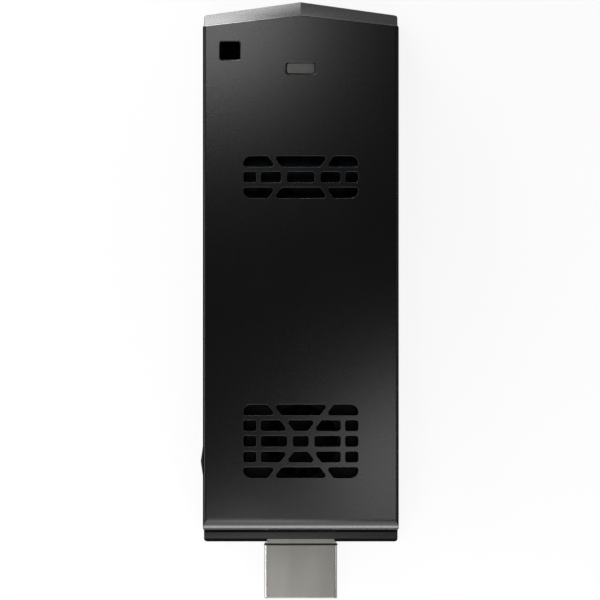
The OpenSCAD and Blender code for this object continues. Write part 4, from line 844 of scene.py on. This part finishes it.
boardTop = 6.7  # upper face of the main board
plugPins = {"upper": 10, "lower": 9, "pitch": 1.0, "width": 0.45, "thick": 0.2, "slot": 0.95,
            "tip": -61.2, "bowEnd": -57.5, "bow": 0.22, "back": -46.7, "foot": -44.5,
            "board": 0.5, "middle": 6.2}
portPins = {
    "usb": dict(
        count=4, pitch=2.3, width=1.0, thick=0.15, tip=-16.85, bowEnd=-9.5, bow=0.4, back=-4.25,
        foot=-2.65, strip=6.31, y=29.0),
    "power": dict(
        count=5, pitch=0.65, width=0.4, thick=0.15, tip=-16.85, bowEnd=-14.2, bow=0.12,
        back=-13.05, foot=-11.45, strip=6.1, y=-6.5),
}
cardPins = {"count": 8, "pitch": 1.1, "width": 0.6, "thick": 0.12, "tip": 8.75, "bowEnd": 4.75,
            "back": 2.75, "height": 5.24, "bow": 0.22, "y": 19.8}


def pinPath(pin, flat, rest):
    # a bowed finger, a riser and a foot, as points of (run, height)
    riser = pin["back"] + pin["thick"] / 2
    finger = bowed(pin["tip"], pin["bowEnd"], flat, pin["bow"])
    return finger + [(riser, flat), (riser, rest), (pin["foot"], rest)]


def plugPinRow(name, count, side, pin):
    path = pinPath(pin, pin["slot"] - pin["thick"] / 2, pin["board"] + pin["thick"] / 2)
    path = [(run, pin["middle"] + side * height) for run, height in path]
    mesh = stripMesh(name, path, pin["width"], pin["thick"], "X")
    moved(mesh, -(count - 1) / 2 * pin["pitch"], 0, 0)
    return inRows(name, mesh, "contactGold", count, (pin["pitch"], 0, 0))


def portPinRow(name, pin):
    path = pinPath(pin, pin["strip"] - pin["thick"] / 2, boardTop + pin["thick"] / 2)
    mesh = stripMesh(name, path, pin["width"], pin["thick"], "Y")
    moved(mesh, 0, pin["y"] - (pin["count"] - 1) / 2 * pin["pitch"], 0)
    return inRows(name, mesh, "contactGold", pin["count"], (0, pin["pitch"], 0))


def cardPinRow(name, pin):
    path = bowed(pin["tip"], pin["bowEnd"], pin["height"], pin["bow"])
    path.append((pin["back"], pin["height"]))
    mesh = stripMesh(name, path, pin["width"], pin["thick"], "Y")
    moved(mesh, 0, pin["y"], 0)
    return inRows(name, mesh, "contactGold", pin["count"], (0, pin["pitch"], 0))


for piece, node in (
        (plugPinRow("plugPinsUpper", plugPins["upper"], 1, plugPins), "hdmi_contacts"),
        (plugPinRow("plugPinsLower", plugPins["lower"], -1, plugPins), "hdmi_contacts"),
        (portPinRow("usbPins", portPins["usb"]), "usb_contacts"),
        (portPinRow("powerPins", portPins["power"]), "micro_usb_contacts"),
        (cardPinRow("cardPins", cardPins), "card_contacts")):
    dressed(piece, "contactGold", "case", "contact_gold", node)

cardCoil = {"turns": 6.0, "coil": 0.25, "wire": 0.08, "x0": 2.83, "x1": 8.07, "y": 30.57,
            "z": 4.765, "travel": 1.2}
coil = grown("cardSpring", bpy.data.meshes.new("cardSpring"), "coil", turns=cardCoil["turns"],
             coilRadius=cardCoil["coil"] * mm, wireRadius=cardCoil["wire"] * mm,
             length=(cardCoil["x1"] - cardCoil["x0"]) * mm,
             start=Vector((cardCoil["x0"], cardCoil["y"], cardCoil["z"])) * mm,
             material=finish["springWire"])
dressed(coil, "springWire", "case", "spring_steel", "card_spring")
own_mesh(coil)
print("ports: shells, contacts and the card spring")


# fasteners

screwLook = {
    "board": dict(
        shaft=1.6, bite=3.8, head=3.2, height=0.9, seat=6.7, look="screwBlack",
        places=[(-13.8, -44.5), (13.8, -44.5), (-6.6, 41.9), (13.8, 41.9)]),
    "cooler": dict(
        shaft=1.4, bite=4.5, head=2.6, height=0.7, seat=9.1, look="screwSteel",
        places=[(-12.5, -17.5), (12.5, -17.5), (-12.5, 4.5), (12.5, 4.5), (-8.7, -41.15),
                (8.7, -41.15)]),
    "threadPitch": 0.4,
    "threadDepth": 0.12,
    "tip": 0.8,  # by the core's radius
    "skirt": 0.4,  # by the head's height, below its dome
    "dome": 0.26,  # by the head's radius
    "cross": (0.3, 0.07, 0.6),  # half length and half width by head width, depth by head height
    "turn": 0.7,
    "sides": 28,
}
roundTurns = (0, 0.4, 0.8, 1.2, math.pi / 2)  # where a turned edge has its points
nutLook = {"width": 2.8, "bore": 1.5, "low": 4.6, "high": 5.7, "ease": 0.1}


def screwMesh(name, screw, look):
    shaft, head, height = screw["shaft"] / 2, screw["head"] / 2, screw["height"]
    bite, pitch, skirt, dome = screw["bite"], look["threadPitch"], look["skirt"], look["dome"]
    core = shaft - look["threadDepth"]
    profile = [(0, -bite), (core * look["tip"], -bite)]
    z = -bite + pitch / 2
    while z < -pitch:
        profile += [(core, z - pitch / 4), (shaft, z), (core, z + pitch / 4)]
        z += pitch
    profile += [(shaft, -pitch / 2), (shaft, 0), (head, 0), (head, height * skirt)]
    profile += [(head * (1 - dome + dome * math.cos(a)),
                 height * (skirt + (1 - skirt) * math.sin(a))) for a in roundTurns[1:]]
    bm = bmesh.new()
    rim = turnInto(bm, profile, look["sides"])[-1]
    rimEdges = [bm.edges.get(pair) for pair in zip(rim, rim[1:] + rim[:1])]
    arm, half = look["cross"][0] * head * 2, look["cross"][1] * head * 2
    depth = look["cross"][2] * height
    outline = [(arm, -half), (arm, half), (half, half), (half, arm), (-half, arm), (-half, half),
               (-arm, half), (-arm, -half), (-half, -half), (-half, -arm), (half, -arm),
               (half, -half)]
    top, bottom = loopAt(bm, outline, height), loopAt(bm, outline, height - depth)
    bmesh.ops.triangle_fill(bm, use_beauty=True, edges=rimEdges + top[1])
    walls(bm, bottom[0], top[0])
    bm.faces.new(bottom[0])
    return fromBmesh(name, bm)


for kind, node in (("board", "board_screws"), ("cooler", "cooler_screws")):
    screw = screwLook[kind]
    name = kind + "Screws"
    places = [(x, y, screw["seat"]) for x, y in screw["places"]]
    piece = atPlaces(name, screwMesh(name, screw, screwLook), screw["look"], places,
                     screwLook["turn"])
    dressed(piece, screw["look"], "case", "screw_steel", node)

hexagon = circle(0, 0, nutLook["width"] / 2 / math.cos(math.pi / 6), 6)
nutMesh = plateMesh("coolerNuts", hexagon, [circle(0, 0, nutLook["bore"] / 2)], 0,
                    nutLook["high"] - nutLook["low"], nutLook["ease"])
nutPlaces = [(x, y, nutLook["low"]) for x, y in screwLook["cooler"]["places"]]
nuts = atPlaces("coolerNuts", nutMesh, "nutNickel", nutPlaces)
dressed(nuts, "nutNickel", "case", "nut_brass", "cooler_nuts")
print("fasteners: screws and nuts")


# heat sink: plate, posts and rows of fins

sinkLook = {"x": 14.5, "y0": -19.5, "y1": 6.5, "low": 8.1, "seat": 9.1, "top": 11.0, "fins": 12,
            "fin": 0.6, "edge": 2.0, "room": 4.3, "bore": 0.8, "post": 1.8, "sides": 28,
            "plateEase": 0.1, "finEase": 0.08}


def sinkPieces(look):
    x, y0, y1, edge, fin = (look[key] for key in ("x", "y0", "y1", "edge", "fin"))
    outline = [(-x, y0), (x, y0), (x, y1), (-x, y1)]
    spots = [(side * (x - edge), y) for side in (-1, 1) for y in (y0 + edge, y1 - edge)]
    holes = [circle(*spot, look["bore"]) for spot in spots]
    plate = linked("sinkPlate", plateMesh("sinkPlate", outline, holes, look["low"], look["seat"],
                                          look["plateEase"]))
    smoothEdges(plate.data)
    wall = [(look["bore"], boardTop), (look["post"], boardTop), (look["post"], look["low"]),
            (look["bore"], look["low"])]
    posts = atPlaces("sinkPosts", latheMesh("sinkPosts", wall, look["sides"], True), "sinkMetal",
                     [(*spot, 0) for spot in spots])
    step = (2 * x - fin) / (look["fins"] - 1)
    clear = x - edge - look["room"] / 2
    high = look["top"] - look["seat"]
    middle = (y0 + y1) / 2
    short = 2 * (y1 - edge - look["room"] / 2 - middle)
    starts = [-x + fin / 2 + i * step for i in range(look["fins"])]
    long = [start for start in starts if abs(start) + fin / 2 < clear]
    outer = [start for start in starts if start < min(long)]
    made = [plate, posts]
    for name, first, count, length in (
            ("sinkFins", min(long), len(long), y1 - y0),
            ("sinkFinsLeft", min(outer), len(outer), short),
            ("sinkFinsRight", max(long) + step, len(outer), short)):
        mesh = blockMesh(name, (fin, length, high), look["finEase"])
        moved(mesh, first, middle, look["seat"])
        made.append(inRows(name, mesh, "sinkMetal", count, (step, 0, 0)))
    return made


for piece in sinkPieces(sinkLook):
    dressed(piece, "sinkMetal", "case", "sink_metal", "heat_sink")
print("cooler: plate, posts and fins")


# blower wheel

wheelLook = {"axis": (0, -32.45, 0), "hub": 4.7, "wall": 0.5, "low": 7.7, "top": 10.1,
             "ceiling": 9.6, "bore": 0.6, "boreTop": 9.85, "ease": 0.35, "sides": 48,
             "blades": 15, "root": 0.1, "tip": 8.4, "bladeLow": 8.1, "thick": 0.45,
             "tipThick": 0.3, "lean": 30}  # root: how far a blade starts inside the hub


def hubMesh(name, look):
    r, top, ease, bore = look["hub"], look["top"], look["ease"], look["bore"]
    inner = r - look["wall"]
    profile = [(0, top)] + [(r - ease + ease * math.sin(a), top - ease + ease * math.cos(a))
                            for a in roundTurns]
    profile += [(r, look["low"]), (inner, look["low"]), (inner, look["ceiling"]),
                (bore, look["ceiling"]), (bore, look["boreTop"]), (0, look["boreTop"])]
    return moved(latheMesh(name, profile, look["sides"]), *look["axis"])


def bladeMesh(name, look, steps=8):
    bm = bmesh.new()
    rings = []
    root = look["hub"] - look["root"]
    for i in range(steps + 1):
        t = i / steps
        radius = root + (look["tip"] - root) * t
        lean = -math.radians(look["lean"]) * t * t
        half = (look["thick"] + (look["tipThick"] - look["thick"]) * t) / 2 / radius
        ring = []
        for side, level in ((1, "bladeLow"), (1, "top"), (-1, "top"), (-1, "bladeLow")):
            a = lean + side * half
            place = Vector((radius * math.cos(a), radius * math.sin(a), look[level]))
            ring.append(bm.verts.new(place * mm))
        rings.append(ring)
    return lofted(name, bm, rings)


hub = linked("wheelHub", hubMesh("wheelHub", wheelLook))
smoothEdges(hub.data)
dressed(hub, "fanBlack", "fan_rotor", "fan_black", "fan_rotor")
blades = grown("wheelBlades", bladeMesh("wheelBlades", wheelLook), "ring",
               count=wheelLook["blades"], axis=Vector(wheelLook["axis"]) * mm,
               material=finish["fanBlack"])
dressed(blades, "fanBlack", "fan_rotor", "fan_black", "fan_rotor")
print("blower: hub and blades")


# small parts in rows on the board

smallParts = {
    "memory": dict(
        size=(7.5, 11, 1.0), ease=0.12, first=(-4.2, -12.45, 4.7), count=2, step=(8.4, 0, 0),
        rows=2, rowStep=(0, 11.9, 0), look="chipEpoxy", slot="chip_black", node="memory_chips"),
    "chokes": dict(
        size=(3, 3, 1.2), ease=0.28, first=(11.5, -9.25, 6.7), count=3, step=(0, 3.8, 0),
        look="ferriteGrey", slot="choke_grey", node="power_chokes"),
    "capacitorBodies": dict(
        size=(0.74, 1.0, 0.74), ease=0.06, first=(-4.75, 8.1, 6.73), count=6, step=(1.9, 0, 0),
        look="capacitorTan", slot="capacitor_tan", node="capacitor_row"),
    "capacitorEnds": dict(
        size=(0.8, 0.32, 0.8), ease=0.08, first=(-4.75, 7.46, 6.7), count=6, step=(1.9, 0, 0),
        rows=2, rowStep=(0, 1.28, 0), look="solderTin", slot="can_steel", node="capacitor_row"),
    "regulatorBody": dict(
        size=(3.8, 3.8, 0.8), ease=0.08, first=(11.5, -13.55, 6.7), look="chipEpoxy",
        slot="chip_black", node="power_regulator"),
    "regulatorPads": dict(
        size=(0.3, 0.4, 0.16), ease=0.03, first=(10.25, -15.35, 6.7), count=6, step=(0.5, 0, 0),
        rows=2, rowStep=(0, 3.6, 0), look="solderTin", slot="can_steel", node="power_regulator"),
    "crystalBase": dict(
        size=(3.2, 2.5, 0.4), ease=0.06, first=(0, 10.95, 6.7), look="sliderIvory",
        slot="can_steel", node="clock_crystal"),
    "crystalLid": dict(
        size=(2.7, 2.0, 0.32), ease=0.1, first=(0, 10.95, 7.08), look="canTin", slot="can_steel",
        node="clock_crystal"),
    "radioBoard": dict(
        size=(12, 12, 0.6), ease=0.05, first=(9.5, 28.3, 6.7), look="boardMask", slot="board_blue",
        node="wireless_module"),
    "radioCan": dict(
        size=(11.2, 11.2, 1.22), ease=0.3, first=(9.5, 28.3, 7.28), look="canTin", slot="can_steel",
        node="wireless_module"),
}
for name, part in smallParts.items():
    mesh = moved(blockMesh(name, part["size"], part["ease"]), *part["first"])
    layout = {key: part[key] for key in ("count", "step", "rows", "rowStep") if key in part}
    piece = inRows(name, mesh, part["look"], **layout)
    dressed(piece, part["look"], "case", part["slot"], part["node"])
print("board: rows of small parts")


# wires inside

wireLook = {
    "lead": dict(radius=0.3, x0=10.5, x1=12.9, y=-27.95, z=7.45, reach=0.45),
    "cable": dict(
        radius=0.4, start=(8.3, 36.7, 7.5), end=(5.225, 46.64, 7.5), reach=2.4, ridge=6.5),
}


def curve(start, end, leave, arrive, count=14):
    # points of a bent wire that leaves and arrives along the given ways
    a, b = Vector(start), Vector(end)
    p, q = a + Vector(leave), b - Vector(arrive)
    points = []
    for i in range(count + 1):
        t = i / count
        s = 1 - t
        points.append(s * s * s * a + 3 * s * s * t * p + 3 * s * t * t * q + t * t * t * b)
    return points


lead = wireLook["lead"]
run = ((lead["x1"] - lead["x0"]) * lead["reach"], 0, 0)
leadPaths = []
for side in (-1, 1):
    y = lead["y"] + side * 2 * lead["radius"]
    leadPaths.append(curve((lead["x0"], y - lead["radius"], lead["z"]),
                           (lead["x1"], y, lead["z"]), run, run))
wires = alongPaths("blowerLead", "leadRed", leadPaths, lead["radius"])
dressed(wires, "leadRed", "case", "lead_red", "fan_lead")
cable = wireLook["cable"]
ridge = math.radians(cable["ridge"])
cablePath = curve(cable["start"], cable["end"], (-cable["reach"], 0, 0),
                  (cable["reach"] * math.sin(ridge), cable["reach"] * math.cos(ridge), 0))
wires = alongPaths("aerialCable", "cableDark", [cablePath], cable["radius"])
dressed(wires, "cableDark", "case", "cable_dark", "antenna_cable")
print("wires: blower lead and aerial cable")


# inner pieces that keep the solids' shapes with eased edges

innerPieces = {
    "usb_tongue": dict(name="usbTongue", look="insulatorBlack", slot="insulator_black", ease=0.08),
    "micro_usb_tongue": dict(
        name="powerTongue", look="insulatorBlack", slot="insulator_black", ease=0.05),
    "card_base": dict(name="cardBase", look="insulatorBlack", slot="insulator_black", ease=0.06),
    "card_cover": dict(name="cardLid", look="portMetal", slot="port_steel", ease=0.04),
    "card_slider": dict(
        name="cardSlider", look="sliderIvory", slot="slider_ivory", ease=0.08, body="card_slider"),
    "switch_body": dict(name="switchBody", look="switchDark", slot="switch_dark", ease=0.06),
    "switch_plunger": dict(
        name="switchPlunger", look="plungerGrey", slot="plunger_grey", ease=0.08,
        body="switch_plunger"),
    "processor": dict(
        name="processorChip", look="chipCarrier", slot="chip_green", ease=0.05, die=7.3),
    "storage_chip": dict(name="storageChip", look="chipEpoxy", slot="chip_black", ease=0.1),
    "thermal_pad": dict(name="thermalPad", look="padSoft", slot="pad_grey", ease=0.1),
    "fan_housing": dict(name="blowerHousing", look="fanBlack", slot="fan_black", ease=0.1),
    "fan_plate": dict(name="blowerPlate", look="plateBlack", slot="plate_black", ease=0.06),
    "fan_connector": dict(name="blowerSocket", look="sliderIvory", slot="slider_ivory", ease=0.12),
    "fan_stator": dict(name="blowerStator", look="copperSheet", slot="copper", ease=0.05),
    "fan_bearing": dict(name="blowerBearing", look="bronzePorous", slot="bronze", ease=0.06),
    "fan_magnet": dict(
        name="wheelMagnet", look="ferriteGrey", slot="choke_grey", ease=0.06, body="fan_rotor"),
    "fan_shaft": dict(
        name="wheelShaft", look="screwSteel", slot="screw_steel", ease=0.05, body="fan_rotor"),
    "antenna": dict(name="aerialStrip", look="copperSheet", slot="copper", ease=0.03),
    "antenna_plug": dict(name="aerialPlug", look="contactGold", slot="contact_gold", ease=0.08),
    "led_chip": dict(name="indicatorChip", look="ledCream", slot="led_cream", ease=0.06),
}
for node, part in innerPieces.items():
    piece = eased(part["name"], node, part["ease"])
    dressed(piece, part["look"], part.get("body", "case"), part["slot"], node)
    if "die" in part:  # the silicon shows above the processor's carrier
        paintFaces(piece, "dieSilicon", lambda face: face.center.z > part["die"] * mm)
print("inner pieces with eased edges:", len(innerPieces))

for place in nodes["main_board"].material_slots:  # the board keeps its solid
    place.material = finish["boardMask"]
print("board: its finish")


# floor, light and world

floorLook = {
    "half": 3000,
    "drop": 0.02,
    "paper": (0.86, 0.86, 0.86),
    "rough": 0.9,
    "gloss": 0.1,
    "white": 0.88,  # share of plain white that the camera sees
}


def makeFloor(look):
    mesh = bpy.data.meshes.new("floor")
    h, z = look["half"] * mm, -look["drop"] * mm
    mesh.from_pydata([(-h, -h, z), (h, -h, z), (h, h, z), (-h, h, z)], [], [(0, 1, 2, 3)])
    floor = linked("floor", mesh)
    material = bpy.data.materials.new("floorPaper")
    material.use_nodes = True
    tree = material.node_tree
    shader = tree.nodes["Principled BSDF"]
    shader.inputs["Base Color"].default_value = (*look["paper"], 1)
    shader.inputs["Roughness"].default_value = look["rough"]
    shader.inputs["Specular IOR Level"].default_value = look["gloss"]
    glow = addNode(tree, "ShaderNodeEmission", {"Color": (1, 1, 1, 1), "Strength": 1.0})
    seen = addNode(tree, "ShaderNodeLightPath")
    either = addNode(tree, "ShaderNodeMath", operation="MAXIMUM")
    every = addNode(tree, "ShaderNodeMath", operation="MAXIMUM")
    share = addNode(tree, "ShaderNodeMath", {1: look["white"]}, operation="MULTIPLY")
    mix = addNode(tree, "ShaderNodeMixShader")
    join(tree, (seen, "Is Camera Ray", either, 0), (seen, "Is Glossy Ray", either, 1),
         (either, 0, every, 0), (seen, "Is Transmission Ray", every, 1), (every, 0, share, 0),
         (share, 0, mix, 0), (shader, "BSDF", mix, 1), (glow, "Emission", mix, 2),
         (mix, "Shader", tree.nodes["Material Output"], "Surface"))
    mesh.materials.append(material)


softboxes = {
    "topLeft": dict(place=(-19, 53, 114), aim=(-12, 42, 12), size=(30, 30), watts=0.0174),
    "lowRight": dict(place=(22, -39, 93), aim=(14, -45, 12), size=(30, 30), watts=0.0079),
    "lowMiddle": dict(place=(-8, -67, 80), aim=(-1, -50, 12), size=(30, 30), watts=0.0093),
    "behindLeft": dict(place=(-69, 186, 30), aim=(-8, 48, 10), size=(110, 66), watts=0.66),
    "frontLow": dict(place=(0, -190, 32), aim=(0, -50, 10), size=(180, 62), watts=0.33),
    "frontHigh": dict(place=(0, -140, 105), aim=(0, -50, 10), size=(170, 110), watts=0.13),
    "left": dict(place=(-150, -20, 90), aim=(0, -10, 8), size=(160, 60), watts=0.13),
    "right": dict(place=(150, 0, 90), aim=(0, 0, 8), size=(140, 60), watts=0.04),
}


def makeLights(boxes):
    for name, box in boxes.items():
        data = bpy.data.lights.new(name, "AREA")
        data.shape = "RECTANGLE"
        data.size, data.size_y = (side * mm for side in box["size"])
        data.energy = box["watts"]
        lamp = bpy.data.objects.new(name, data)
        lamp.location = Vector(box["place"]) * mm
        lamp.rotation_mode = "QUATERNION"
        towards = Vector(box["aim"]) - Vector(box["place"])
        lamp.rotation_quaternion = towards.to_track_quat("-Z", "Y")
        lamp.visible_camera = False
        bpy.context.scene.collection.objects.link(lamp)


# pale round the horizon and dim overhead, as (height, grey)
skyLook = [(0.0, 0.8), (0.5, 0.8), (0.6, 0.42), (0.8, 0.04), (1.0, 0.0)]


def makeWorld(stops):
    world = bpy.data.worlds.new("studio")
    bpy.context.scene.world = world
    world.use_nodes = True
    tree = world.node_tree
    place = addNode(tree, "ShaderNodeTexCoord")
    split = addNode(tree, "ShaderNodeSeparateXYZ")
    rise = addNode(tree, "ShaderNodeMapRange", {"From Min": -1.0, "From Max": 1.0})
    ramp = addNode(tree, "ShaderNodeValToRGB")
    marks = ramp.color_ramp.elements
    while len(marks) < len(stops):
        marks.new(0.5)
    for mark, (position, grey) in zip(marks, stops):
        mark.position = position
        mark.color = (grey, grey, grey, 1)
    join(tree, (place, "Generated", split, "Vector"), (split, "Z", rise, "Value"),
         (rise, "Result", ramp, "Fac"), (ramp, "Color", tree.nodes["Background"], "Color"))


makeFloor(floorLook)
makeLights(softboxes)
makeWorld(skyLook)
bpy.context.scene.view_settings.view_transform = "Standard"
print("stage: floor,", len(softboxes), "lights and world")
